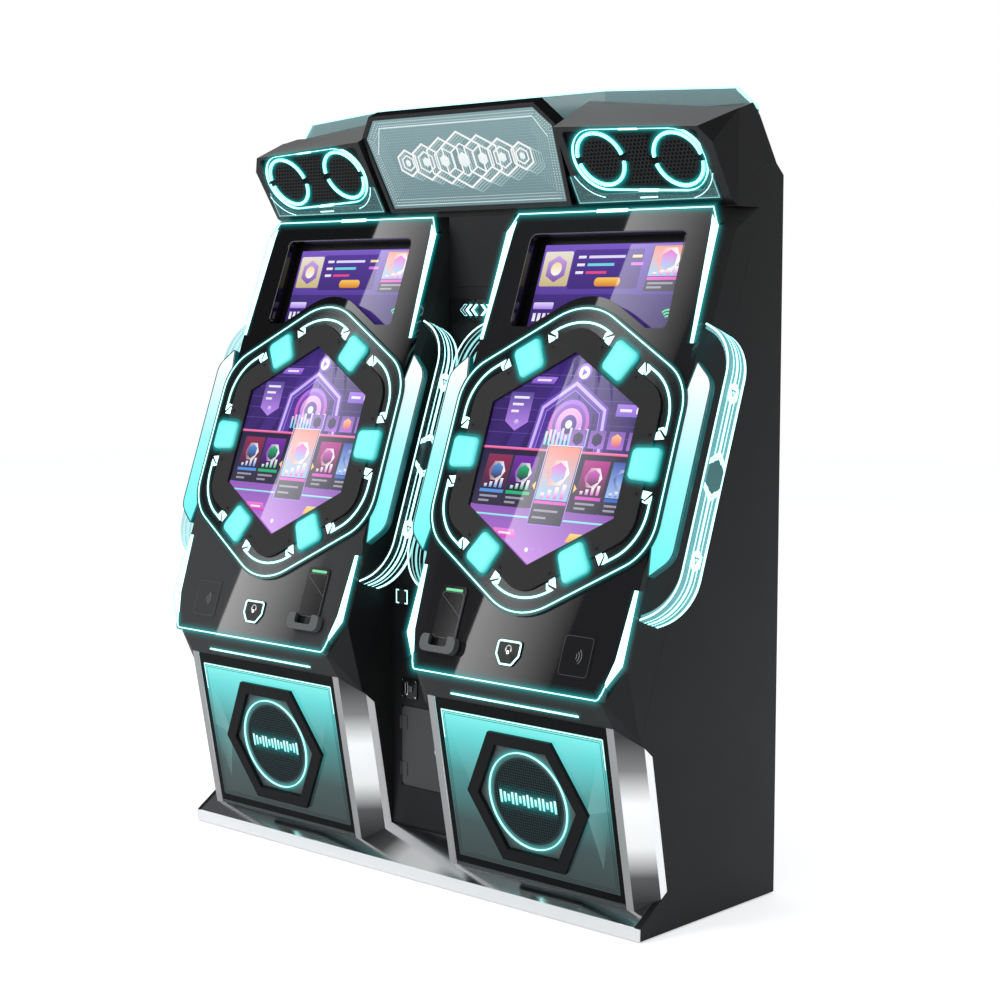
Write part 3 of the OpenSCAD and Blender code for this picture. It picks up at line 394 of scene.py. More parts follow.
def make(piece, name, finish, body="cabinet", stands_for=(), edge=0.0):
    """Turns the gathered points and faces into one dressed piece that rides on a body."""
    mesh = bpy.data.meshes.new(name)
    mesh.from_pydata(piece["points"], [], piece["faces"])
    if piece["ink"]:
        ink = mesh.color_attributes.new("ink", "FLOAT_COLOR", "POINT")
        ink.data.foreach_set("color", [channel for colour in piece["ink"] for channel in colour])
    else:
        work = bmesh.new()
        work.from_mesh(mesh)
        bmesh.ops.recalc_face_normals(work, faces=work.faces)
        work.to_mesh(mesh)
        work.free()
    mesh.materials.append(finish)
    mesh.shade_smooth()
    mesh.set_sharp_from_angle(angle=math.radians(32))
    made = bpy.data.objects.new(name, mesh)
    bpy.context.scene.collection.objects.link(made)
    if edge:
        broken_edge(made, edge, 32)
    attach(made, body)
    if stands_for:
        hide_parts(*stands_for)
    return made


def lit(name, colour, strength):
    """A lit diffuser strip: the lamps behind it show as a faint pulse along its length."""
    made, skin, add = shader(name)
    pulse = ranged(add, speckled(add, 1 / (LAMP_PITCH * MM)), target=(strength * 0.92, strength * 1.08))
    wired(skin, {"Emission Strength": pulse, "Emission Color": colour, "Base Color": (0.5, 0.62, 0.62),
                 "Roughness": 0.3})
    return made


def glow_film(name, colour, strength):
    """Light that spills from a strip onto the gloss beside it, fading with the painted ink."""
    made, skin, add = shader(name)
    ink = add("VertexColor", layer_name="ink")["Color"]
    wired(skin, {"Alpha": add("SeparateColor", {0: ink})[0], "Base Color": (0, 0, 0), "Roughness": 0.6,
                 "Specular IOR Level": 0.0, "Emission Color": colour, "Emission Strength": strength})
    return made


SPILL = ((-1, 0.0), (-0.62, 0.06), (-0.36, 0.22), (-0.16, 0.55),
         (0.16, 0.55), (0.36, 0.22), (0.62, 0.06), (1, 0.0))


def spill(piece, path, reach, rise, put, closed=False, share=1.0):
    """A film along a path that fades out to both sides, for the light that spills from a strip."""
    lofted(piece, [[put(u, v, rise) for u, v in moved_aside(path, aside * reach, closed)] for aside, _ in SPILL],
           closed)
    piece["ink"] += [(fade * share,) * 3 + (1,) for _, fade in SPILL for _ in path]


def honeycomb(piece, inside, put, box):
    """Bars of a pod's honeycomb sheet, one open cell wherever the middle of the cell is inside."""
    left, right, bottom, top = box
    rise = CELL_PITCH * math.sqrt(3) / 2
    for row in range(int((top - bottom) / rise) + 1):
        for column in range(int((right - left) / CELL_PITCH) + 1):
            u = left + (column + 0.5 * (row % 2)) * CELL_PITCH
            v = bottom + row * rise
            if inside(u, v):
                outer, hole = [arc((u, v), CELL_PITCH / math.sqrt(3) - bar, 30, 330, 5) for bar in (0, CELL_BAR)]
                slab(piece, outer, -POD_SUNK + 0.1, -POD_SUNK + 1.6, put, hole)


def top_lit_satin(name, upper, lower):
    """Near-black satin paint, painted a lighter grey on upward faces: a painted highlight from the light above."""
    satin = coated(name, lower, rough=0.45, grain=0.8, bump=0.15, specular=0.35)
    return toned(satin, upper, 0.45, 0.75, "Z", "Normal")


# Pods: near-black satin with a painted highlight, a lighter grey on their upward faces.
pod_grey = top_lit_satin("pod_grey", (0.165, 0.163, 0.163), (0.014, 0.014, 0.015))
grille_black = coated("grille_black", (0.003, 0.003, 0.0035), rough=0.5, grain=1, bump=0.1, specular=0.1)
mesh_grey = coated("mesh_grey", (0.015, 0.0145, 0.0145), rough=0.4, grain=1, bump=0.1, specular=0.2)
cyan_tube = lit("cyan_tube", (0.16, 1.0, 0.98), 2.4)
white_line = lit("white_line", (0.42, 1.0, 1.0), 2.0)
teal_spill = glow_film("teal_spill", (0.03, 0.85, 0.85), 1.0)
# The header box gets the same painted highlight on its top.
dress("header_shell", top_lit_satin("header_paint", (0.140, 0.137, 0.137), (0.020, 0.020, 0.021)), 1.0)
dress("speaker_pods", pod_grey, 1.5)
dress("speaker_grilles", grille_black)
cone_paper = coated("cone_paper", (0.010, 0.010, 0.011), rough=0.75, grain=1.5, bump=0.5)
dress("speaker_drivers", cone_paper)


def around_speakers(radius, steps=16):
    """The long rounded outline round the two speakers of a pod."""
    near, far = POD_SPEAKERS
    return arc(far, radius, -88, 88, steps) + arc(near, radius, 92, 268, steps)


PODS = [leaning(POD_MIDDLE, POD_LEAN, side) for side in (-1, 1)]
rings, pod_lines, pod_spill, pod_mesh = blank(), blank(), blank(), blank()
for pod in PODS:
    for middle in POD_SPEAKERS:
        for start in (8, 188):
            half = arc(middle, POD_RING - 8, start, start + 164, 24)
            ribbon(rings, half, 8.5, -POD_SUNK + 0.4, -POD_SUNK + 8, pod, crown=2)
            spill(pod_spill, half, 24, -POD_SUNK + 0.6, pod)
        honeycomb(pod_mesh, lambda u, v: math.hypot(u - middle[0], v - middle[1]) < POD_RING - 22, pod,
                  (middle[0] - POD_RING, middle[0] + POD_RING, middle[1] - POD_RING, middle[1] + POD_RING))
    honeycomb(pod_mesh, lambda u, v: abs(u) < 52 and abs(v) < 70
              and min(math.dist((u, v), m) for m in POD_SPEAKERS) > POD_RING + 10, pod, (-58, 58, -80, 80))
    outline = around_speakers(POD_RING + 6)
    ribbon(pod_lines, outline, 1.5, -POD_SUNK + 0.4, 1.2, pod, closed=True)
    spill(pod_spill, outline, 20, 0.5, pod, closed=True, share=0.55)
    for way in (1, -1):
        bar = [(-32, way * (POD_RING + 6) + 1.6), (32, way * (POD_RING + 6) - 1.6)]
        ribbon(pod_lines, bar, 5, -POD_SUNK + 0.4, 1.8, pod)
make(pod_mesh, "pod_honeycomb", mesh_grey)
make(rings, "pod_light_rings", cyan_tube, stands_for=("ring_lights",))
make(pod_lines, "pod_light_lines", white_line)
make(pod_spill, "pod_light_spill", teal_spill)

# Clear guards
# A bent sheet of clear teal acrylic screwed over the foot of each pod front, cut out round the speakers,
# with one white line that follows the cut-out and a dim teal rim along its foot and ends, a painted edge glow.


def clear(name, colour, rough=0.08, body_tint=0.35):
    """Tinted clear acrylic: mostly see-through, with a little body of its own and a glossy face."""
    made, skin, add = shader(name)
    wired(skin, {"Alpha": ranged(add, speckled(add, 30), target=(body_tint - 0.06, body_tint + 0.06)),
                 "Base Color": colour, "Roughness": rough, "Specular IOR Level": 0.5})
    return made


clear_teal = clear("clear_teal", (0.10, 0.24, 0.25))
dress("pod_lips", clear_teal)
lip_lines, lip_rims, lip_glow = blank(), blank(), blank()
for pod in PODS:
    near, far = POD_SPEAKERS
    bends = [arc(far, POD_RING + 26, -80, -22, 10), arc(near, POD_RING + 26, 202, 260, 10)]
    for path, width in zip([*bends, [(-30, -109), (30, -109)]], (1.8, 1.8, 3.6)):
        ribbon(lip_lines, path, width, 5.3, 6.2, pod, crown=0.2)
    rim = [(-250, -36), (-250, -118), (232, -118), (229, -36)]
    ribbon(lip_rims, rim, 2.2, 5.3, 5.9, pod, crown=0.2)
    spill(lip_glow, rim, 12, 5.6, pod, share=0.25)
make(lip_lines, "guard_lines", white_line)
# The rims are a painted glow: a dim emitting strip for the light at the acrylic's edge.
make(lip_rims, "guard_rims", lit("guard_rim", (0.01, 0.11, 0.12), 1.0))
make(lip_glow, "guard_light_spill", teal_spill)

# Marquee
# A black six-sided frame round a lit sheet of grey-teal diffuser, leaning out over the players. The sheet
# is printed with rows of fine dots and a thin white border, and carries a plain pattern of hexagons.
MARQUEE_FOOT = (0, 110, 1924)
MARQUEE_LEAN = 24.6
MARQUEE_HALF = 386
MARQUEE_HIGH = 310
SHEET_FACE = -6
gloss_black = coated("gloss_black", (0.006, 0.006, 0.007), rough=0.16, grain=6, bump=0.02, specular=0.35)
dress("marquee_frame", gloss_black, 1.5)


def painted(name, strength, rough=0.25, gloss=0.3):
    """A lit print: each point's ink is its own colour and its own light."""
    made, skin, add = shader(name)
    wired(skin, {"Emission Strength": ranged(add, speckled(add, 420), target=(strength * 0.95, strength * 1.05)),
                 "Emission Color": add("VertexColor", layer_name="ink")["Color"],
                 "Base Color": (0.01, 0.01, 0.012), "Roughness": rough, "Specular IOR Level": gloss})
    return made


def print_shape(piece, outline, rise, low_ink, high_ink, put, axis=1):
    """A flat printed shape whose ink runs from one colour to another along u (0) or v (1)."""
    first = len(piece["points"])
    along = [p[axis] for p in outline]
    span = max(1e-6, max(along) - min(along))
    for point in outline:
        share = (point[axis] - min(along)) / span
        piece["points"].append(put(point[0], point[1], rise))
        piece["ink"].append((*[a + (b - a) * share for a, b in zip(low_ink, high_ink)], 1))
    for face in tessellate_polygon([[Vector((u, v, 0)) for u, v in outline]]):
        piece["faces"].append(tuple(first + i for i in face))


def print_line(piece, path, width, rise, ink, put, closed=False):
    """A printed line of one colour along a path."""
    sides = [moved_aside(path, aside * width, closed) for aside in (-0.5, 0.5)]
    lofted(piece, [[put(u, v, rise) for u, v in side_path] for side_path in sides], closed)
    piece["ink"] += [(*ink, 1)] * (2 * len(path))


def box_outline(u, v, wide, high):
    """Corners of an upright rectangle about a middle."""
    return [(u - wide / 2, v - high / 2), (u + wide / 2, v - high / 2), (u + wide / 2, v + high / 2),
            (u - wide / 2, v + high / 2)]


def six_sided(u, v, radius, turn=0):
    """Corners of a regular hexagon."""
    turns = [math.radians(60 * i + turn) for i in range(6)]
    return [(u + radius * math.cos(t), v + radius * math.sin(t)) for t in turns]


def marquee_edge(inset):
    """The marquee's outline, moved in by a margin."""
    half = [(MARQUEE_HALF - 24 - inset, inset), (MARQUEE_HALF - inset, MARQUEE_HIGH - 65 - inset * 0.4),
            (MARQUEE_HALF - 57 - inset * 0.6, MARQUEE_HIGH - inset)]
    return half + [(-u, v) for u, v in reversed(half)]


diffuser_print = painted("diffuser_print", 0.9)
front = leaning(MARQUEE_FOOT, MARQUEE_LEAN)
sheet = blank()
BADGE_UP = 156
WHITE = (1.0, 1.0, 1.0)
PALE = (0.80, 0.95, 0.96)
MIST = (0.34, 0.52, 0.54)
slab_ink = ((0.150, 0.265, 0.285), (0.235, 0.375, 0.395))
print_shape(sheet, marquee_edge(14.4), SHEET_FACE + 0.3, *slab_ink, front)
for row in range(31):
    v = 26 + row * 8.6
    reach_out = MARQUEE_HALF - 52 + 24 * min(1, v / 245) - max(0, v - 240) * 0.9
    for column in range(int(2 * reach_out / 9)):
        u = -reach_out + column * 9
        faint = 0.35 + 0.45 * abs(u) / reach_out
        dot = [a + (b - a) * faint for a, b in zip(MIST, PALE)]
        print_shape(sheet, box_outline(u, v, 2.6, 1.0), SHEET_FACE + 0.4, dot, dot, front)
edge = marquee_edge(40)
print_line(sheet, [(edge[1][0] - 4, edge[1][1] - 22), edge[2], edge[3], (edge[4][0] + 4, edge[4][1] - 40)], 3.2,
           SHEET_FACE + 0.5, PALE, front)
for step in range(5):
    inner = marquee_edge(52 + step * 8)
    print_line(sheet, [inner[3], inner[4], inner[5]], 1.2, SHEET_FACE + 0.45, MIST, front)
    print_line(sheet, [inner[0], inner[1], inner[2]], 1.2, SHEET_FACE + 0.45, MIST, front)
print_line(sheet, [(-330, 24), (330, 24)], 2.0, SHEET_FACE + 0.5, PALE, front)
for step in range(3):
    ring = marquee_edge(24 + step * 9)
    for i, a in enumerate(ring):
        b = ring[(i + 1) % 6]
        for k in range(int(math.dist(a, b) / 8)):
            spot = [p + (q - p) * k * 8 / math.dist(a, b) for p, q in zip(a, b)]
            print_shape(sheet, box_outline(*spot, 3.4, 2.4), SHEET_FACE + 0.45, PALE, PALE, front)
for i in range(7):
    u = -228 + 76 * i
    size = 86 - 15 * abs(i - 3)
    for echo in range(4, 0, -1):
        soft = [a + (b - a) * 0.5 / echo for a, b in zip(MIST, PALE)]
        shifted = six_sided(u + 9 * echo, BADGE_UP - 4 * echo, size, 30)
        print_line(sheet, shifted, 2.4, SHEET_FACE + 0.5, soft, front, True)
    for share, width in ((1, 6.5), (0.58, 5.0)):
        print_line(sheet, six_sided(u, BADGE_UP, size * share, 30), width, SHEET_FACE + 0.7, WHITE, front, True)
    print_shape(sheet, six_sided(u, BADGE_UP, size * 0.28, 30), SHEET_FACE + 0.7, PALE, WHITE, front)
make(sheet, "marquee_print", diffuser_print)
dress("marquee_panel", coated("marquee_sheet", (0.16, 0.27, 0.29), rough=0.3, grain=3, bump=0.05))

# Crown
# A clear edge-lit sheet that stands along the roof and sweeps back at both ends, with a bright upper edge.
# It stands on the header box.
crown_sheet = clear("crown_sheet", (0.150, 0.275, 0.290), rough=0.2, body_tint=0.80)
dress("crown_light", crown_sheet)
CROWN_BEND = (442, 156, 2244)
CROWN_TIP = (844, 222, 2229)
CROWN_END = (903, 233, 2174.8)
CROWN_THICK = 8
crown_edge = blank()
for side in (-1, 1):
    run = [(0, *CROWN_BEND[1:]), CROWN_BEND, CROWN_TIP, CROWN_END]
    for (a, b), size in zip(zip(run, run[1:]), (3.0, 3.0, 7.0)):
        first = lofted(crown_edge, [[Vector((side * x, y + back, z + rise)) * MM for back, rise in (
            (-1.2, 0.8), (CROWN_THICK + 1.2, 0.8), (CROWN_THICK + 1.2, -size), (-1.2, -size))]
            for x, y, z in (a, b)], True)
        crown_edge["faces"] += [tuple(first + i for i in range(4)), tuple(first + 4 + i for i in range(4))]
make(crown_edge, "crown_edge", lit("edge_line", (0.36, 1.0, 1.0), 0.95))

# Centre column
# A folded steel panel between the consoles, painted satin charcoal. It holds a row of lit arrows in a black
# tray, two code readers, the coin entries, and the coin door with its lock.
column_paint = coated("column_paint", (0.009, 0.009, 0.010), rough=0.46, grain=1.1, bump=0.14, specular=0.25)
door_paint = coated("door_paint", (0.040, 0.041, 0.043), rough=0.38, grain=1.1, bump=0.14, specular=0.45)
dress("centre_column", column_paint, 1.0)
dress("coin_door", door_paint, 0.8)
dress("coin_door_lock", chrome, 0.5)
dress("coin_plates", gloss_black, 1.2)
dress("chevron_light", gloss_black, 0.8)
bare_steel = rolled_metal("bare_steel", (0.46, 0.48, 0.50), 0.32)
dress("cash_box", bare_steel, 0.5)
key_grey = coated("key_grey", (0.075, 0.078, 0.080), rough=0.26, grain=3, bump=0.05, coat_weight=0.3)
for side in ("left", "right"):
    dress(side + "_coin_reject", key_grey, 0.8)

COLUMN_FRONT = -127
TRAY_FRONT = 125
ARROW_HEIGHT = 1633
ARROW = ((0, 16.5), (10.5, 16.5), (28, 0), (10.5, -16.5), (0, -16.5), (17.5, 0))
arrows, brackets, arrow_spill = blank(), blank(), blank()
tray = leaning((0, TRAY_FRONT, ARROW_HEIGHT), 0)
for side in (-1, 1):
    for k in range(3):
        start = 5 + 22.3 * k
        arrow = [(side * (start + u), v) for u, v in ARROW]
        if k < 2:
            slab(arrows, arrow, 10.2, 11.2, tray)
            middle_line = [(side * (start + u), v) for u, v in ((5, 16.5), (23, 0), (5, -16.5))]
            spill(arrow_spill, middle_line, 18, 6.4, tray)
        else:
            ribbon(arrows, arrow, 0.9, 10.2, 10.6, tray, closed=True)
    reader = leaning((side * 70, COLUMN_FRONT, 800), 0)
    for end in (-1, 1):
        bracket = [(end * 12, 19), (end * 22, 19), (end * 22, -19), (end * 12, -19)]
        ribbon(brackets, bracket, 3, 16.3, 17.2, reader, crown=0.2)
make(arrows, "column_arrows", white_line, edge=0.3)
make(arrow_spill, "column_arrow_spill", teal_spill)
make(brackets, "reader_brackets", white_line)

coin_trim, coin_marks = blank(), blank()
for side in (-1, 1):
    entry = leaning((side * 55, COLUMN_FRONT, 527), 0)
    slab(coin_trim, rounded(box_outline(-10, 0, 14, 40), 4), 4.2, 6.4, entry,
         rounded(box_outline(-10, 0, 4.5, 31), 1.2))
    for u, v in ((-27, 24), (27, 24), (-27, -24), (27, -24)):
        slab(coin_marks, arc((u, v), 2.6, 0, 330, 11), 4.0, 5.6, entry)
make(coin_trim, "coin_slot_trim", chrome, edge=0.5)
make(coin_marks, "coin_plate_screws", chrome, edge=0.4)

# Console shells and faces
# Each console is a hollow shell of charcoal board behind a thick face panel of high-gloss black acrylic.
# The face leans back from the player and is cut out for two displays and six buttons. Its gloss mirrors a lamp.
FACE_MIDDLE = (518, -128, 1278)
FACE_LEAN = -19.8
FACE_TOP = 675
RING_DROP = 46
RING_FACE = 8
RIGHT_FACE_PAINTED_TONE = (0.0125, 0.0125, 0.0135)
face_gloss = coated("face_gloss", (0.004, 0.004, 0.0045), rough=0.014, grain=9, bump=0.001, tone=0.08,
                    specular=0.42, spread=0.004)
# Painted light on the gloss: the left face turns lighter towards its foot, and the right face is one flat
# grey-black, lighter than the left face's head.
face_gloss = toned(toned(face_gloss, (0.046, 0.046, 0.047), 1.42, 1.05), RIGHT_FACE_PAINTED_TONE, -0.2, 0.2, "X")
dress("console_shells", charcoal, 1.5)
dress("face_panels", face_gloss)
dress("readers", face_gloss)
BAND = {-1: ((117, 674), (-143, -652), (455, 674)), 1: ((70, 674), (-172, -652), (408, 674))}
eye = bpy.context.scene.camera.location
FACES = [(side, leaning(FACE_MIDDLE, FACE_LEAN, side)) for side in (-1, 1)]
FACE_OUT = (0, -math.cos(math.radians(-FACE_LEAN)), math.sin(math.radians(-FACE_LEAN)))
for (side, face), word in zip(FACES, ("left", "right")):
    spots = [face(side * u, v) for u, v in BAND[side]]
    head, foot, far_edge = [spot + (spot - eye).normalized().reflect(Vector(FACE_OUT)) * 5 for spot in spots]
    up = (head - foot).normalized()
    across = far_edge - head - up * (far_edge - head).dot(up)
    soft_box = bpy.data.lights.new(word + "_soft_box", "AREA")
    soft_box.shape = "RECTANGLE"
    soft_box.size = across.length
    soft_box.size_y = (head - foot).length * 1.3
    soft_box.energy = 6.0 * math.pi * soft_box.size * soft_box.size_y
    soft_box.use_nodes = True
    add = adder(soft_box.node_tree)
    share = add("SeparateXYZ", {0: add("NewGeometry")["Parametric"]})["X"]
    wired(soft_box.node_tree.nodes["Emission"], {"Strength": ranged(add, share, target=(1.0, 0.05))})
    lamp = bpy.data.objects.new(word + "_soft_box", soft_box)
    turn = Matrix((across.normalized(), up, across.normalized().cross(up))).transposed()
    lamp.matrix_world = Matrix.LocRotScale((head + foot + across) / 2, turn.to_quaternion(), None)
    lamp.visible_diffuse = False
    bpy.context.scene.collection.objects.link(lamp)

# Light lines
# Slim white diffusers let into the gloss: a closed loop round the button ring, arcs with arrow ends between
# the buttons, tapering stripes down both edges, and lines along the top, the foot and the chin.


def hexagon(flat):
    """The ring's hexagon, point up, by how far its sides are from the ring's middle."""
    return six_sided(0, -RING_DROP, flat / math.cos(math.radians(30)), 90)


def hexagon_loop(flat, tip, shoulder):
    """The rounded six-sided loop that the ring lines follow."""
    return rounded(hexagon(flat), [tip, shoulder, shoulder] * 2, 10)


def between(path, low, high):
    """The part of a loop round the ring's middle that lies between two angles, in degrees."""
    turn = [(math.degrees(math.atan2(v + RING_DROP, u)) - low) % 360 for u, v in path]
    kept = sorted((t, p) for t, p in zip(turn, path) if t < high - low)
    return [p for _, p in kept]


def filled(path, longest):
    """The same closed path with long runs cut into shorter ones."""
    made = []
    for i, a in enumerate(path):
        b = path[(i + 1) % len(path)]
        cuts = max(1, int(math.dist(a, b) / longest))
        made += [(a[0] + (b[0] - a[0]) * k / cuts, a[1] + (b[1] - a[1]) * k / cuts) for k in range(cuts)]
    return made


UPPER_STRIPE = [(347, 647), (375, 617), (379, 290), (369, 290), (351, 613)]
LOWER_STRIPE = [(371, -375), (383, -375), (386, -572), (349, -632), (343, -622), (360, -560)]
ARROW_HEAD = [(13.5, 0.5), (17, -31), (-4, -28), (-6.5, -18.5)]
ARROW_HOOK = [(4.5, 2.8), (-11.5, -15.5), (-9, -25), (-14.5, -24), (-18, -9.5), (-15, -2.6), (-15, 2.8)]
ARC_SHARE = 17.4
CHIN_MIDDLE = (518, -295.2, 566.9)
CHIN_LEAN = 31.6
lines, glow = blank(), blank()


def glowing(path, width, low, high, reach, film, put, closed=False, share=0.5):
    """A light line of the face, and the light that spills beside it."""
    ribbon(lines, path, width, low, high, put, closed)
    spill(glow, path, reach, film, put, closed, share)


for side, face in FACES:
    loop = hexagon_loop(397.5, 200, 140)
    glowing(loop, 3.4, RING_FACE + 0.2, RING_FACE + 1.8, 15, RING_FACE + 0.35, face, closed=True)
    track = filled(hexagon_loop(361, 190, 150), 6)
    for k in range(6):
        bend = between(track, 60 * k + 30 - ARC_SHARE, 60 * k + 30 + ARC_SHARE)
        glowing(bend, 5.6, RING_FACE + 0.2, RING_FACE + 1.8, 15, RING_FACE + 0.3, face)
        for tail, neck in ((bend[0], bend[3]), (bend[-1], bend[-4])):
            along = (Vector(tail) - Vector(neck)).normalized()
            across = Vector((-along.y, along.x))
            if across.dot(Vector(tail) + Vector((0, RING_DROP))) < 0:
                across = -across
            for head in (ARROW_HEAD, ARROW_HOOK):
                outline = [tuple(Vector(tail) + along * a + across * c) for a, c in head]
                slab(lines, outline, RING_FACE + 0.2, RING_FACE + 1.6, face)
    for hand in (-1, 1):
        for stripe in (UPPER_STRIPE, LOWER_STRIPE):
            outline = [(hand * u, v) for u, v in stripe]
            slab(lines, outline, 0.2, 1.6, face)
            spill(glow, outline[1:3] if stripe is UPPER_STRIPE else outline[1:4], 26, 0.35, face, share=0.5)
    top = [(-371, 617), (-345, 669), (345, 669), (371, 617)]
    glowing(top, 3.0, 0.2, 1.8, 26, 0.3, face)
    ribbon(lines, [(-55, 669), (55, 669)], 9.5, 0.2, 2.0, face)
    foot = [(-346, -628), (-338, -654), *arc((-322, -655), 14, 180, 270, 5), *arc((322, -655), 14, 270, 360, 5),
            (338, -654), (346, -628)]
    glowing(foot, 3.0, 0.2, 1.8, 26, 0.3, face)
    chin = leaning(CHIN_MIDDLE, CHIN_LEAN, side)
    glowing([(-230, 24), (230, 24)], 3.6, 0.4, 4.0, 20, 0.5, chin, share=0.6)
make(lines, "face_light_lines", white_line, stands_for=("face_lights",))
make(glow, "face_light_spill", teal_spill)

# Button rings
# A raised plate of black gloss on each face, with a thicker satin ring moulded on it that frames the lower
# display. The ring is made in segments that part beside every button, each held by a small dark screw.
RING_TOP = 14


def measured(add, source, way):
    """How far a piece's own place lies along a direction, or how squarely it faces that way."""
    return add("VectorMath", {0: add("TexCoord")[source], 1: way}, operation="DOT_PRODUCT")["Value"]


def two_heights(name, split, low, high, gloss, satin):
    """One finish near the face and another on what stands higher, told apart by height off the face."""
    made, skin, add = shader(name)
    base = sum(a * b * MM for a, b in zip(FACE_OUT, FACE_MIDDLE))
    raised = ranged(add, measured(add, "Object", FACE_OUT), (base + (split - 0.2) * MM, base + (split + 0.2) * MM))
    wired(skin, {"Base Color": mixed(add, raised, low, high),
                 "Roughness": ranged(add, raised, target=(gloss, satin)),
                 "Normal": dented(add, speckled(add, 900), 0.1), "Specular IOR Level": 0.38})
    return made


def turned(points, k):
    """Points drawn beside the right-hand button, turned to button k and set on the ring's middle."""
    turn = math.radians(60 * k)
    return [(u * math.cos(turn) - v * math.sin(turn), u * math.sin(turn) + v * math.cos(turn) - RING_DROP)
            for u, v in points]


ring_finish = two_heights("ring_finish", RING_FACE + 0.5, (0.0095, 0.0095, 0.0105), (0.0122, 0.0122, 0.0130),
                          0.014, 0.44)
dress("button_rings", ring_finish)
seam_black = coated("seam_black", (0.003, 0.003, 0.003), rough=0.6)
screw_black = coated("screw_black", (0.012, 0.012, 0.013), rough=0.3, metal=0.8)
seams, screws = blank(), blank()
for side, face in FACES:
    for k in range(6):
        for hand in (-1, 1):
            seam = turned([(263, hand * 53), (326, hand * 57)], k)
            ribbon(seams, seam, 1.6, RING_TOP - 0.4, RING_TOP + 0.12, face, crown=0.05)
            screw = turned([(316, hand * 80)], k)[0]
            rim, socket = [arc(screw, radius, 0, 330, 11) for radius in (4.2, 2.0)]
            slab(screws, rim, RING_TOP - 0.4, RING_TOP + 0.9, face, socket)
make(seams, "ring_seams", seam_black)
make(screws, "ring_screws", screw_black, edge=0.3)

# Buttons
# Twelve square push buttons of translucent cyan acrylic with soft pillow tops, lit from inside by a lamp on
# the switch plate behind the face. Each one slides straight in against its spring.
BUTTON_OUT = 321
BUTTON_SIZE = 94
BUTTON_CORNER = 16
cyan_cap = painted("cyan_cap", 1.0, rough=0.22, gloss=0.45)


def button_outline(inset):
    """The cap's outline: a little narrower towards the display."""
    out = wide = BUTTON_SIZE / 2 - inset
    corners = [(out, wide), (-out, wide - 4), (-out, -wide + 4), (out, -wide)]
    return rounded(corners, max(6, BUTTON_CORNER - inset * 0.5), 5)


PILLOW = ((0, -0.4, 0.10), (0, 8, 0.16), (0, 14, 0.40), (0.5, 16.6, 0.60), (2.6, 19.4, 0.82), (6.5, 21.2, 0.95),
          (11, 21.7, 0.99), (18, 21.95, 1.0), (34, 22, 1.0))
CAP_INK = (0.215, 1.0, 0.96)
cap_spill = blank()
for (side, face), word in zip(FACES, ("left", "right")):
    for k in range(6):
        cap = blank()
        loops = [turned([(u + BUTTON_OUT, v) for u, v in button_outline(inset)], k) for inset, _, _ in PILLOW]
        lofted(cap, [[face(u, v, rise) for u, v in loop] for loop, (_, rise, _) in zip(loops, PILLOW)], True)
        cap["ink"] = [(CAP_INK[0] * light ** 1.6, CAP_INK[1] * light, CAP_INK[2] * light, 1)
                      for _, _, light in PILLOW for _ in loops[0]]
        last = len(cap["points"])
        cap["faces"].append(tuple(range(last - len(loops[0]), last)))
        if side < 0:
            cap["faces"] = [quad[::-1] for quad in cap["faces"]]
        name = f"{word}_button_{k}"
        make(cap, name + "_cap", cyan_cap, body=name, stands_for=(name,))
        around = turned([(u + BUTTON_OUT, v) for u, v in button_outline(-1)], k)
        spill(cap_spill, around, 22, RING_TOP + 0.25, face, True, 0.5)
make(cap_spill, "button_light_spill", teal_spill)
switch_black = coated("switch_black", (0.02, 0.022, 0.024), rough=0.5)
dress("button_switches", switch_black, 0.3)

# Displays
# A flat display behind six-sided glass in the ring, and a wide one set back in a black shroud above it. Both
# show a plain menu of their own: a violet stage, a row of cards with simple shapes, bars and tags.
SCREEN_FACE = 4
UPPER_FACE = -45
UPPER_GAP = 70
UPPER_HALF = 137.5
dress("main_screens", gloss_black)
dress("top_screens", coated("shroud_black", (0.004, 0.004, 0.005), rough=0.35))
screen_print = painted("screen_print", 0.95, rough=0.014, gloss=0.4)
INDIGO = (0.030, 0.014, 0.130)
VIOLET = (0.105, 0.042, 0.400)
LILAC = (0.420, 0.200, 0.860)
ORCHID = (0.560, 0.230, 0.780)
ICE = (0.78, 0.74, 1.0)
ROSE = (0.80, 0.07, 0.26)
AQUA = (0.16, 0.72, 0.82)
SLATE = (0.035, 0.032, 0.060)
BEAMS = ((0.045, 0.018, 0.160), (0.060, 0.025, 0.220), (0.105, 0.045, 0.380), (0.165, 0.075, 0.540))
COVERS = (((0.30, 0.03, 0.10), (0.05, 0.02, 0.06), (0.10, 0.32, 0.80)),
          ((0.20, 0.03, 0.42), (0.03, 0.01, 0.06), (0.02, 0.50, 0.20)),
          ((0.95, 0.30, 0.22), (0.30, 0.62, 0.85), (0.80, 0.10, 0.62)),
          ((0.52, 0.03, 0.30), (0.05, 0.02, 0.05), (0.72, 0.10, 0.60)),
          ((0.05, 0.10, 0.45), (0.35, 0.55, 0.95), (0.05, 0.16, 0.62)))


def skewed(outline, lean, about):
    """The outline leaned over sideways about a height."""
    return [(u + lean * (v - about), v) for u, v in outline]


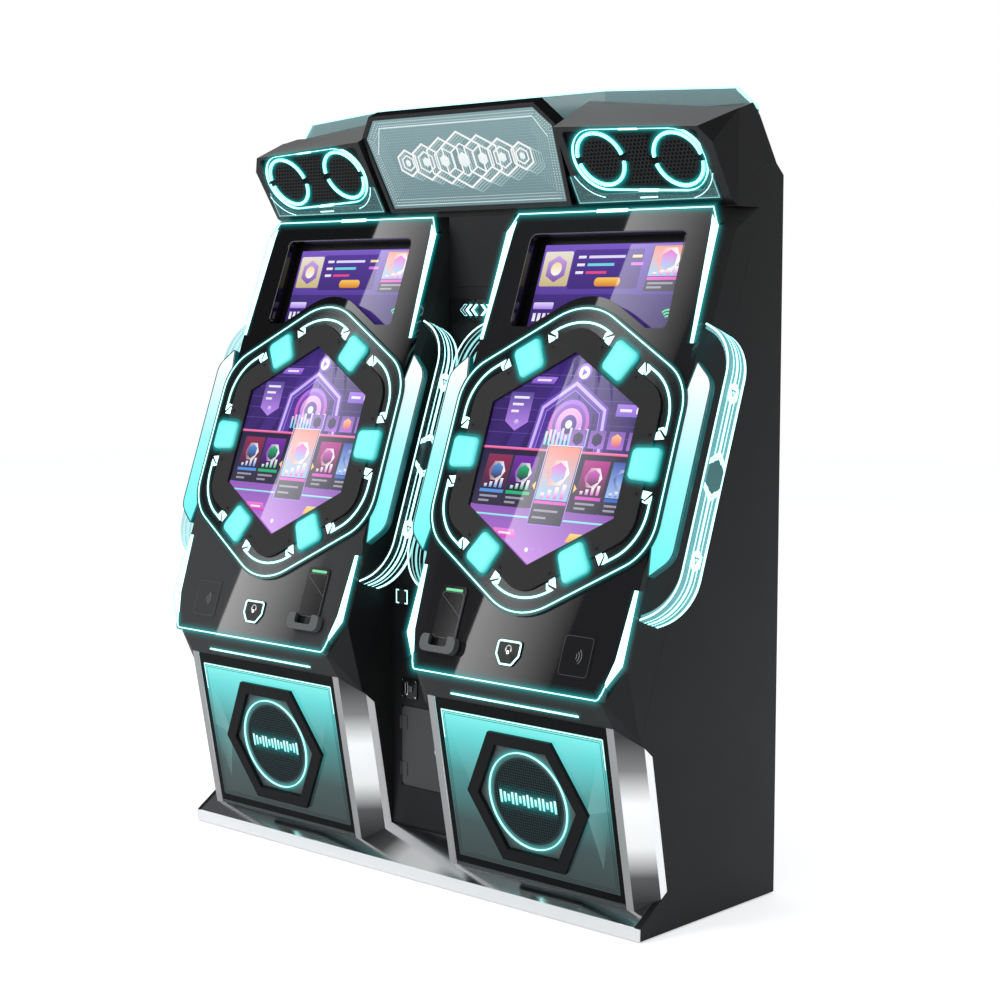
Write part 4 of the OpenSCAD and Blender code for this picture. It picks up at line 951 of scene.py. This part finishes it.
def menu_card(tile, u, v, wide, high, cover, rise):
    """One card: a cover with plain shapes, a coloured strip and two grey bars on a dark label."""
    first, second, strip = cover
    shape = lambda points: skewed(points, 0.06, v)
    label = high * 0.28
    tile(shape(box_outline(u, v, wide, high)), rise, SLATE, (0.06, 0.055, 0.10))
    art = (u, v + label / 2 + 3, wide - 5, high - label - 8)
    tile(shape(box_outline(*art)), rise + 0.05, second, first)
    tile(shape(six_sided(u, art[1] + 2, wide * 0.34)), rise + 0.10, first, WHITE, axis=0)
    tile(shape(six_sided(u, art[1] + 2, wide * 0.25, 30)), rise + 0.15, second, strip)
    for k in range(4):
        tile(shape(box_outline(u + (k - 1.5) * wide * 0.2, art[1] - art[3] * (0.42 - 0.03 * k), wide * 0.11,
                                             art[3] * (0.10 + 0.06 * k))), rise + 0.18, strip, WHITE)
    tile(shape(box_outline(u, v - high / 2 + label, wide - 5, 9)), rise + 0.2, strip, strip)
    for row, length in ((0.62, 0.72), (0.30, 0.42)):
        left = u - wide * 0.42
        tile(shape(box_outline(left + wide * length / 2, v - high / 2 + label * row, wide * length, 6)),
                    rise + 0.2, (0.30, 0.28, 0.38), (0.42, 0.40, 0.50))


def clipped(corners, window):
    """The part of a face inside a convex window, both drawn anticlockwise. A corner is its place and its ink."""
    for a, b in zip(window, window[1:] + window[:1]):
        kept = []
        for p, q in zip(corners, corners[1:] + corners[:1]):
            side_p, side_q = [(b[0] - a[0]) * (c[1] - a[1]) - (b[1] - a[1]) * (c[0] - a[0]) for c in (p, q)]
            if side_p >= 0:
                kept.append(p)
            if side_p * side_q < 0:
                cut = side_p / (side_p - side_q)
                kept.append([x + (y - x) * cut for x, y in zip(p, q)])
        corners = kept
    return corners


def trimmed(piece, window):
    """Cuts every printed face to the window, keeping the ink along the cuts."""
    made = blank()
    for face in piece["faces"]:
        corners = [(*piece["points"][i], *piece["ink"][i]) for i in face]
        area = sum(p[0] * q[1] - q[0] * p[1] for p, q in zip(corners[-1:] + corners[:-1], corners))
        kept = clipped(corners if area > 0 else corners[::-1], window)
        if abs(area) > 1e-6 and len(kept) > 2:
            first = len(made["points"])
            made["points"] += [tuple(corner[:3]) for corner in kept]
            made["ink"] += [tuple(corner[3:]) for corner in kept]
            made["faces"].append(tuple(range(first, first + len(kept))))
    return made


def flat_place(u, v, n=0.0):
    """A point kept in the sheet's own millimetres until it is trimmed."""
    return (u, v, n)


def stage_menu():
    """The lower display's picture, on the sheet's own millimetres."""
    art = blank()
    tile, line = partial(print_shape, art, put=flat_place), partial(print_line, art, put=flat_place)
    tile(box_outline(0, 120, 560, 320), 0, (0.036, 0.015, 0.130), (0.040, 0.016, 0.160))
    tile(box_outline(0, -200, 560, 320), 0, ORCHID, (0.085, 0.035, 0.300))
    for k in range(7):
        u = -240 + 80 * k
        beam = [(u - 26, -30), (u + 26, -30), (u * 0.45 + 60, 260), (u * 0.45 - 10, 260)]
        tint = BEAMS[3 - abs(k - 3)]
        tile(beam, 0.05, tint, (0.040, 0.016, 0.160))
    for k in range(6):
        line([(-270, 20 + 34 * k), (270, 20 + 34 * k)], 1.2, 0.08, (0.16, 0.08, 0.46))
    arch = [(-92, -22), (-78, 96), (22, 168), (140, 96), (150, -22)]
    line(arch, 24, 0.1, (0.17, 0.075, 0.52))
    line(arch, 10, 0.15, (0.66, 0.50, 1.0))
    line(moved_aside(arch, -16), 3, 0.15, (0.40, 0.24, 0.86))
    disc = (26, 52)
    for radius, low, high in (
            (70, ROSE, LILAC), (58, (0.10, 0.03, 0.30), (0.30, 0.10, 0.62)), (46, LILAC, (0.95, 0.50, 0.75)),
            (27, INDIGO, VIOLET), (12, ICE, WHITE)):
        tile(arc(disc, radius, 0, 350, 35), 0.2 + (70 - radius) * 0.002, low, high)
    for k in range(11):
        tall = 18 + 34 * abs(math.sin(1.7 * k + 0.6))
        tile(box_outline(-44 + 14 * k, -8 + tall / 2, 8, tall), 0.42, AQUA, ICE)
    banner = [(-206, 138), (-206, 52), (-164, 26), (-122, 52), (-122, 138)]
    tile(banner, 0.25, (0.52, 0.26, 0.90), (0.10, 0.07, 0.34))
    for row, length in enumerate((56, 40, 28)):
        tile(box_outline(-192 + length / 2, 122 - 20 * row, length, 7), 0.3, ICE, WHITE)
    tile(six_sided(-164, 50, 9), 0.3, LILAC, ICE)
    tile(skewed(box_outline(-96, 174, 84, 20), 0.5, 174), 0.25, (0.22, 0.10, 0.62), LILAC)
    tile(skewed(box_outline(-96, 174, 50, 6), 0.5, 174), 0.3, ICE, WHITE)
    tile(box_outline(222, 98, 84, 34), 0.25, (0.26, 0.14, 0.70), LILAC)
    tile(box_outline(212, 98, 40, 8), 0.3, ICE, WHITE)
    tile(six_sided(258, 98, 13, 30), 0.3, WHITE, ICE)
    for k, inks in enumerate(((VIOLET, LILAC), (WHITE, ICE))):
        tile(arc((40, 200), 26 - 7 * k, 0, 350, 35), 0.3 + 0.05 * k, *inks)
    tile([(34, 190), (34, 210), (50, 200)], 0.42, VIOLET, LILAC)
    for k, inks in enumerate(((INDIGO, SLATE), (INDIGO, SLATE), (ROSE, (0.95, 0.60, 0.2)), (VIOLET, LILAC))):
        u = 70 + 66 * k
        tile(box_outline(u, 14, 54, 50), 0.45, (0.42, 0.16, 0.72), (0.22, 0.10, 0.46))
        tile(six_sided(u, 14, 19, 30), 0.5, *inks)
    tile(box_outline(0, -106, 560, 164), 0.3, (0.040, 0.034, 0.075), (0.022, 0.016, 0.060))
    tile(box_outline(0, -24, 560, 7), 0.5, ROSE, (0.95, 0.30, 0.55))
    tile(box_outline(0, -214, 560, 5), 0.5, AQUA, (0.5, 0.95, 1.0))
    for k, u in ((0, -194), (1, -97), (3, 152), (4, 252)):
        menu_card(tile, u, -116, 92, 146, COVERS[k], 0.55)
    tile(skewed(box_outline(27, -120, 124, 226), 0.06, -120), 0.8, LILAC, ICE)
    menu_card(tile, 27, -120, 118, 220, COVERS[2], 0.85)
    for hand in (-1, 1):
        u = 27 + hand * 68
        tile([(u, -112), (u + hand * 11, -124), (u, -136)], 1.1, (0.95, 0.62, 0.10), (1.0, 0.80, 0.25))
    tile(skewed(box_outline(-112, -262, 76, 24), -0.55, -262), 0.6, (0.70, 0.06, 0.55), (0.95, 0.25, 0.75))
    tile(skewed(box_outline(-112, -262, 44, 6), -0.55, -262), 0.65, ICE, WHITE)
    tile(skewed(box_outline(150, -258, 76, 24), 0.55, -258), 0.6, (0.90, 0.45, 0.08), (1.0, 0.70, 0.20))
    for k in range(3):
        tile(six_sided(-20 + 24 * k, -302, 7, 30), 0.6, WHITE if k == 0 else LILAC, ICE if k == 0 else ORCHID)
    return art


def player_menu():
    """The upper display's picture, on the sheet's own millimetres from the display's middle."""
    art = blank()
    tile, line = partial(print_shape, art, put=flat_place), partial(print_line, art, put=flat_place)
    tile(box_outline(0, 0, 600, 320), 0, (0.034, 0.013, 0.130), (0.095, 0.044, 0.340))
    for k in range(9):
        u = -260 + 65 * k
        tile(skewed(box_outline(u, -70, 24, 150), 0.5, -70), 0.05, (0.024, 0.010, 0.105), (0.070, 0.030, 0.260))
    tile(rounded(box_outline(0, 48, 520, 148), 8), 0.1, (0.100, 0.048, 0.350), (0.200, 0.105, 0.580))
    tile(rounded(box_outline(-16, 48, 250, 116), 6), 0.15, (0.055, 0.022, 0.200), (0.095, 0.042, 0.330))
    tile(rounded(box_outline(-196, 50, 104, 104), 6), 0.15, (0.62, 0.50, 0.22), (0.86, 0.80, 0.70))
    tile(six_sided(-196, 50, 40, 30), 0.2, (0.20, 0.08, 0.42), (0.62, 0.40, 0.85))
    tile(arc((-196, 50), 20, 0, 350, 35), 0.25, WHITE, (0.95, 0.75, 0.35))
    for row, (tint, length) in enumerate(((ICE, 130), (AQUA, 96), (ROSE, 74))):
        v = 84 - 23 * row
        tile(box_outline(-122 + 14, v, 28, 8), 0.2, ICE, WHITE)
        tile(box_outline(-84 + length / 2, v, length, 8), 0.2, tint, tint)
    tile(rounded(box_outline(0, 10, 92, 26), 12), 0.25, (0.72, 0.22, 0.02), (1.0, 0.62, 0.12))
    tile(box_outline(88, 84, 34, 8), 0.2, (0.95, 0.70, 0.25), (1.0, 0.85, 0.45))
    tile(box_outline(92, 62, 42, 9), 0.2, (0.85, 0.18, 0.70), ORCHID)
    menu_card(tile, 196, 48, 120, 132, COVERS[2], 0.2)
    tile(rounded(box_outline(-212, -60, 74, 20), 4), 0.2, LILAC, ICE)
    for k in range(4):
        tile(box_outline(-238 + 18 * k, -94, 11, 24), 0.2, WHITE, ICE)
    for k in range(3):
        line(arc((236, -98), 10 + 9 * k, 45, 135, 8), 5, 0.2, (0.10, 0.85, 0.35))
    return art


upper_middle = FACE_TOP - UPPER_GAP - UPPER_HALF
lower_pictures, upper_pictures, rims = blank(), blank(), blank()


def hang(picture, into, put, up, rise, side):
    """Copies a trimmed picture onto a display. Both stations read the same way round."""
    first = len(into["points"])
    into["points"] += [put(side * u, v + up, rise + 0.25 * n + 0.1) for u, v, n in picture["points"]]
    into["ink"] += picture["ink"]
    into["faces"] += [tuple(first + i for i in face) for face in picture["faces"]]


lower_art = trimmed(stage_menu(), hexagon(260))
upper_art = trimmed(player_menu(), [(-255, -143), (268, -143), (268, 122), (-255, 122)])
for side, face in FACES:
    hang(lower_art, lower_pictures, face, 0, SCREEN_FACE, side)
    hang(upper_art, upper_pictures, face, upper_middle, UPPER_FACE, side)
    opening = [(277, 345), (277, 590), *arc((257, 585), 20, 0, 90, 6), *arc((-257, 585), 20, 90, 180, 6),
               (-277, 345)]
    ribbon(rims, moved_aside(opening, -1.5), 3, -0.4, 0.5, face, crown=0.3)
make(rims, "display_rims", coated("rim_grey", (0.075, 0.075, 0.078), rough=0.3))
make(lower_pictures, "lower_display_pictures", screen_print)
make(upper_pictures, "upper_display_pictures", screen_print)

# Wing lights and side rails
# Broad acrylic wings beside each face, white at the head and cyan at the foot. Behind them a bent acrylic
# rail bows out from the shell, with four bright lines and six-sided badges along its outer side.
RAIL_OUT = 490
RAIL_ROOT = 387.1
RAIL_HALF = 414
RAIL_BEND = 140
RAIL_NEAR = -25
RAIL_FAR = -105


def faded(name, low, high, colours, strength, base, rough=0.25, edge_ink=None):
    """A lit sheet whose colour changes with height, in millimetres; its cut edges may get a near-black base with a
    dim painted glow of their own, a painted edge shade.
    """
    made, skin, add = shader(name)
    tint = ramp(add, ranged(add, axis_of(add, "Object", "Z"), (low * MM, high * MM)), colours)
    wired(skin, {"Base Color": base, "Emission Color": tint, "Emission Strength": strength, "Roughness": rough})
    if edge_ink:
        front = maths(add, "GREATER_THAN", measured(add, "Normal", FACE_OUT), 0.7)
        wired(skin, {"Base Color": mixed(add, front, (0.003, 0.004, 0.004), base),
                     "Emission Color": mixed(add, front, edge_ink, tint)})
    return made


def side_stripe(piece, path, near, far, rise, put):
    """A strip on the outer side of a bent rail, between two depths behind the face."""
    outer = moved_aside(path, rise)
    lofted(piece, [[put(u, v, n) for u, v in outer] for n in (near, far)])


WING = ((387.2, 150), (405, 245), (467, 190), (467, -286), (401, -341), (387.2, -250))
WING_COLOURS = ((0.0, (0.13, 0.95, 0.91)), (0.48, (0.34, 0.97, 0.96)), (0.72, (0.68, 1.0, 1.0)),
                (0.92, (0.97, 1.0, 1.0)))
# The wing's cut edges get a painted dim teal glow and shade.
wing_sheet = faded("wing_sheet", 957, 1508, WING_COLOURS, 0.98, (0.02, 0.03, 0.03), edge_ink=(0.0, 0.075, 0.082))
dress("wing_lights", wing_sheet, 1.0)


def rail_finish(name, alpha, shade, glow):
    """Tinted acrylic, seen through in part: smoky between the consoles, pale teal on the outer pair, which also
    carries a painted teal glow.
    """
    made, skin, add = shader(name)
    outer = maths(add, "GREATER_THAN", maths(add, "ABSOLUTE", axis_of(add, "Object", "X")), 0.5)
    wired(skin, {"Base Color": mixed(add, outer, (0.050, 0.052, 0.056), shade),
                 "Emission Color": mixed(add, outer, (0, 0, 0), glow), "Emission Strength": 1.0,
                 "Roughness": ranged(add, speckled(add, 9), target=(0.12, 0.22)), "Alpha": alpha})
    return made


dress("side_rails", rail_finish("rail_acrylic", 0.34, (0.30, 0.52, 0.53), (0.10, 0.36, 0.40)), 1.0)
wing_print = painted("wing_print", 0.9)
rail_lines, rail_badges, wing_borders = blank(), blank(), blank()
rail_path = rounded([(RAIL_ROOT, RAIL_HALF - 12), (RAIL_OUT, RAIL_HALF - 56), (RAIL_OUT, 56 - RAIL_HALF),
                     (RAIL_ROOT, 12 - RAIL_HALF)], [0, RAIL_BEND, RAIL_BEND, 0], 12)
rail_path = [(u, v - RING_DROP) for u, v in rail_path]
RAIL_MIDDLE = (RAIL_NEAR + RAIL_FAR) / 2
RAIL_STRIPES = ((21, 17), (6.5, -2.5), (-12, -15.5), (-29.5, -39.5))


def six_sides(wide, tall):
    """A six-sided badge, point up."""
    return [(0, tall), (-wide, tall / 2), (-wide, -tall / 2), (0, -tall), (wide, -tall / 2), (wide, tall / 2)]


def roof(wide, tall, thick):
    """A bent bar over the upper two sides of a badge."""
    rise = thick * 1.15
    return [(wide, tall / 2), (0, tall), (-wide, tall / 2),
            (-wide, tall / 2 + rise), (0, tall + rise), (wide, tall / 2 + rise)]


for side, face in FACES:
    for hand in (-1, 1):
        put = lambda u, v, n, hand=hand: face(hand * u, v, n)
        for near, far in RAIL_STRIPES:
            side_stripe(rail_lines, rail_path, RAIL_MIDDLE + near, RAIL_MIDDLE + far, 0.4, put)
        front_line = [(hand * u, v) for u, v in moved_aside(rail_path, -3.6)]
        ribbon(rail_lines, front_line, 5, RAIL_NEAR + 0.2, RAIL_NEAR + 0.9, face)
        badges = [(rail_badges, -RING_DROP, 0.8, six_sides(33, 46))]
        for way in (-1, 1):
            badges += [(rail_lines, -RING_DROP, 1.0, [(a, way * b) for a, b in roof(36, *bar)])
                       for bar in ((48, 4), (57, 9))]
        for v in (177, -269):
            badges += [(rail_lines, v, 0.8, six_sides(22, 30)),
                       (rail_badges, v, 1.1, [(-11, 9), (11, 9), (0, -11)]),
                       (rail_lines, v, 1.4, [(-5, 5), (5, 5), (0, -4)])]
        for part, v, rise, outline in badges:
            first = len(part["points"])
            part["points"] += [face(hand * (RAIL_OUT + rise), v + b, RAIL_MIDDLE + a) for a, b in outline]
            part["faces"].append(tuple(range(first, first + len(outline))))
        # A dim teal line painted just inside each wing's outline: painted edge glow and shade.
        border = moved_aside(rounded(WING, [0, 6, 60, 60, 6, 0], 6), -2.2)
        print_line(wing_borders, [(hand * u, v) for u, v in border], 4.4, 0.35, (0.0, 0.105, 0.11), face)
make(rail_lines, "rail_light_lines", white_line)
make(rail_badges, "rail_badges", rail_finish("badge_acrylic", 1.0, (0.08, 0.24, 0.25), (0, 0, 0)))
make(wing_borders, "wing_borders", wing_print)

# Phone cradles, sockets and card pads
# On the foot of each face: a backing plate with a smoky tray that holds a phone, a shield with the socket
# for headphones, and a thin pad that reads a card laid against it.
CRADLE = (-243, -516)
SHIELD = (0, -583)
PAD = (230, -565)
MARK_WHITE = (0.85, 0.90, 0.90)
dress("phone_cradles", two_heights("smoky_plastic", 4.4, (0.012, 0.012, 0.013), (0.085, 0.090, 0.092), 0.05, 0.26))
dress("headphone_jacks", coated("shield_black", (0.012, 0.012, 0.013), rough=0.3), 0.5)
marks, cradle_bars, jack_rims, shield_lines = [blank() for _ in range(4)]
mark_print = painted("mark_print", 0.85)
for side, face in FACES:
    level = lambda u, v, n=0.0, face=face, side=side: face(side * u, v, n)
    u, v = CRADLE
    bar = rounded(box_outline(u * side, v + 79, 64, 8), 3)
    print_shape(cradle_bars, bar, 4.2, (0.10, 0.75, 0.30), (0.35, 1.0, 0.55), level)
    plate_line = rounded(box_outline(u * side, v + 8, 80, 128), 9) + [(u * side + 40, v + 8)]
    print_line(marks, plate_line, 0.9, 4.2, (0.18, 0.20, 0.21), level)
    u, v = SHIELD
    badge = [(u + a, v + b) for a, b in ((44, 34), (-44, 34), (-44, -8), (-22, -37), (22, -37), (44, -8))]
    ribbon(shield_lines, rounded(moved_aside(badge, 4, True), 8, 4), 5, 3.8, 5.0, face, closed=True)
    print_line(marks, arc((u, v + 10), 9, 0, 180, 12), 2.4, 4.3, MARK_WHITE, level)
    for hand in (-1, 1):
        ear = rounded(box_outline(u + hand * 9, v + 7, 5, 9), 1.5)
        print_shape(marks, ear, 4.3, MARK_WHITE, MARK_WHITE, level)
    slab(jack_rims, arc((u, v), 5.0, 0, 350, 35), 3.8, 5.2, face, arc((u, v), 2.4, 0, 350, 35))
    u, v = PAD
    frame_line = rounded(box_outline(u * side, v, 96, 104), 10)
    print_line(marks, frame_line + frame_line[:1], 1.2, 1.9, (0.075, 0.082, 0.084), level)
    for k in range(3):
        print_line(marks, arc((u * side - 6, v), 9 + 8 * k, -48, 48, 10), 3, 1.9, (0.13, 0.145, 0.15), level)
make(marks, "face_marks", mark_print)
make(cradle_bars, "cradle_bars", mark_print)
make(shield_lines, "shield_lines", white_line)
make(jack_rims, "socket_rims", chrome, edge=0.3)

# Pedestals
# Under each face stands a pedestal with a lit acrylic panel, cyan at the head and fading to smoky grey at the
# foot. A six-sided frame holds a plate with the bass speaker's mesh, ringed by a thin light.
PEDESTAL_MIDDLE = (518, -249, 310)
PEDESTAL_LEAN = 10.2
PANEL_FACE = -3.2
MESH_REACH = 119
MESH_PITCH = 8.0
MESH_BAR = 2.6
RING_IN = 135
RING_WIDE = 8
dress("pedestals", charcoal, 1.0)
# A painted reflection: the bands the cheeks' slanting steel is coloured with, from its foot to its head.
CHEEK_PAINTED_REFLECTION = ((0, (0.035, 0.035, 0.037)), (0.16, (0.10,) * 3), (0.34, (0.86,) * 3), (0.60, (0.95,) * 3),
               (0.80, (0.22,) * 3), (1, (0.050, 0.050, 0.053)))
PANEL_COLOURS = ((0.0, (0.018, 0.026, 0.027)), (0.30, (0.030, 0.062, 0.063)), (0.60, (0.045, 0.270, 0.270)),
                 (0.84, (0.10, 0.70, 0.69)), (1.0, (0.24, 1.0, 0.95)))
panel_sheet = faded("pedestal_sheet", 70, 545, PANEL_COLOURS, 0.95, (0.012, 0.018, 0.018), 0.06)
dress("pedestal_light_panels", panel_sheet, 0.6)
dress("pedestal_hex_frames", coated("frame_black", (0.0095, 0.0095, 0.010), rough=0.4, specular=0.1), 1.2)


def cheek_finish():
    """Polished steel with its reflections painted in: a bright band between dark ones up its slanting face, satin
    grey on the rails and near-white on the sides, all also given as a faint painted glow.
    """
    made, skin, add = shader("cheek_finish")
    painted_reflection = ramp(add, ranged(add, axis_of(add, "Object", "Z"), (0.085, 0.545)), CHEEK_PAINTED_REFLECTION)
    tilt = math.radians(PEDESTAL_LEAN)
    facing = measured(add, "Normal", (0, -math.cos(tilt), -math.sin(tilt)))
    rail_painted_tone = mixed(add, maths(add, "GREATER_THAN", facing, 0.95), painted_reflection, (0.30, 0.30, 0.305))
    sideways = maths(add, "ABSOLUTE", axis_of(add, "Normal", "X"))
    strip = mixed(add, maths(add, "GREATER_THAN", sideways, 0.95), rail_painted_tone, (0.96, 0.97, 0.98))
    wired(skin, {"Base Color": strip, "Emission Color": strip, "Emission Strength": 0.35, "Metallic": 0.75,
                 "Roughness": 0.3})
    return made


dress("pedestal_cheeks", cheek_finish(), 0.6)
borders, panel_lines, mesh_bars, ring_lines, panel_spill = [blank() for _ in range(5)]
band, plates, cones, edge_print, facets = [blank() for _ in range(5)]
FACETS = ((((206, 0), (288, 219), (288, 24)), 0.30), (((108, 176), (288, 219), (206, 0)), 0.14),
          (((206, 0), (288, 24), (244, -150)), 0.20), (((-206, 0), (-288, 219), (-108, 176)), 0.10))
for side in (-1, 1):
    front = leaning(PEDESTAL_MIDDLE, PEDESTAL_LEAN, side)
    outer = rounded([(309, 257), (-309, 257), (-309, -236), (309, -236)], 4, 3)
    inner = rounded([(293, 226), (-293, 226), (-293, -214), (293, -214)], 4, 3)
    slab(borders, outer, PANEL_FACE - 0.2, PANEL_FACE + 0.5, front, inner)
    head = [(-290, 140), (-290, 223), (290, 223), (290, 140)]
    ribbon(panel_lines, head, 2.4, PANEL_FACE - 0.1, PANEL_FACE + 0.7, front, crown=0.2)
    spill(panel_spill, head, 12, PANEL_FACE + 0.25, front, share=0.4)
    for inset in (6, 12):
        loop = rounded([(293 - inset, 226 - inset), (inset - 293, 226 - inset), (inset - 293, inset - 214),
                        (293 - inset, inset - 214)], 4, 3)
        print_line(edge_print, loop + loop[:1], 1.5, PANEL_FACE + 0.35, (0.008, 0.022, 0.023), front)
    for outline, share in FACETS:
        first = len(facets["points"])
        facets["points"] += [front(u, v, PANEL_FACE + 0.2) for u, v in outline]
        facets["ink"] += [(share,) * 4, (0,) * 4, (share / 2,) * 4]
        facets["faces"].append((first, first + 1, first + 2))
    plate = [(91, 152), (-91, 152), (-176, 0), (-91, -152), (91, -152), (176, 0)]
    slab(plates, plate, PANEL_FACE - 0.1, PANEL_FACE + 0.3, front)
    mesh_edge = arc((0, 0), MESH_REACH + 3, 0, 355, 71)
    slab(cones, mesh_edge, PANEL_FACE - 0.1, PANEL_FACE + 0.5, front)
    ring = arc((0, 0), RING_IN + RING_WIDE / 2, 0, 355, 71)
    ribbon(ring_lines, ring, 3.0, -3, 2.4, front, closed=True, crown=0.6)
    spill(panel_spill, ring, 22, PANEL_FACE + 0.45, front, True, 0.6)
    rows = int(MESH_REACH / MESH_PITCH)
    for k in range(-rows, rows + 1):
        at = k * MESH_PITCH
        half = math.sqrt(max(0.0, MESH_REACH ** 2 - at ** 2))
        if half < MESH_PITCH:
            continue
        for run, rise in (([(at, -half), (at, half)], 1.4), ([(-half, at), (half, at)], 1.2)):
            ribbon(mesh_bars, run, MESH_BAR, PANEL_FACE + 0.2, PANEL_FACE + rise, front, crown=0.3)
    ribbon(mesh_bars, mesh_edge, 6, PANEL_FACE + 0.2, PANEL_FACE + 1.8, front, closed=True, crown=0.4)
    for k in range(-7, 8):
        tall = 16 + 22 * abs(math.cos(0.9 * k))
        print_shape(band, box_outline(k * 14, 0, 8, tall), PANEL_FACE + 1.9, (0.30, 0.95, 0.92), (0.75, 1.0, 1.0),
                    front)
    spill(panel_spill, [(-104, 0), (104, 0)], 42, PANEL_FACE + 1.6, front, share=0.7)
mesh_black = coated("mesh_black", (0.020, 0.040, 0.043), rough=0.45, specular=0.15)
make(plates, "grille_plates", coated("grille_plate", (0.060, 0.082, 0.084), rough=0.36))
make(cones, "grille_backs", grille_black)
border_black = coated("border_black", (0.0025, 0.0025, 0.003), rough=0.3, specular=0.1)
make(borders, "panel_borders", border_black)
make(panel_lines, "panel_light_lines", lit("panel_line", (0.75, 1.0, 1.0), 1.0))
make(mesh_bars, "bass_mesh", mesh_black)
make(ring_lines, "bass_light_rings", lit("ring_line", (0.45, 1.0, 0.98), 0.95))
make(panel_spill, "panel_light_spill", teal_spill)
make(band, "mesh_band", painted("band_print", 1.15))
make(edge_print, "panel_edge_print", painted("edge_print", 0.8))
make(facets, "panel_facets", glow_film("facet_film", (0.55, 1.0, 0.98), 0.8))

# Inside pieces
# Power supply, computer and amplifier boxes of folded steel on the base boards, the cooling fan in the rear
# panel, and the mains inlet with its rocker switch low on the back.
case_grey = coated("case_grey", (0.20, 0.21, 0.21), rough=0.42, metal=0.6)
dark_plastic = coated("dark_plastic", (0.018, 0.018, 0.019), rough=0.45)
dress("electronics_modules", case_grey, 1.0)
dress("cooling_fan_frame", dark_plastic, 0.6)
dress("cooling_fan_rotor", coated("rotor_plastic", (0.028, 0.028, 0.030), rough=0.38), 0.6)
dress("power_inlet", dark_plastic, 0.5)
dress("power_switch", coated("red_key", (0.40, 0.02, 0.02), rough=0.22, grain=3, bump=0.05, coat_weight=0.3), 0.5)
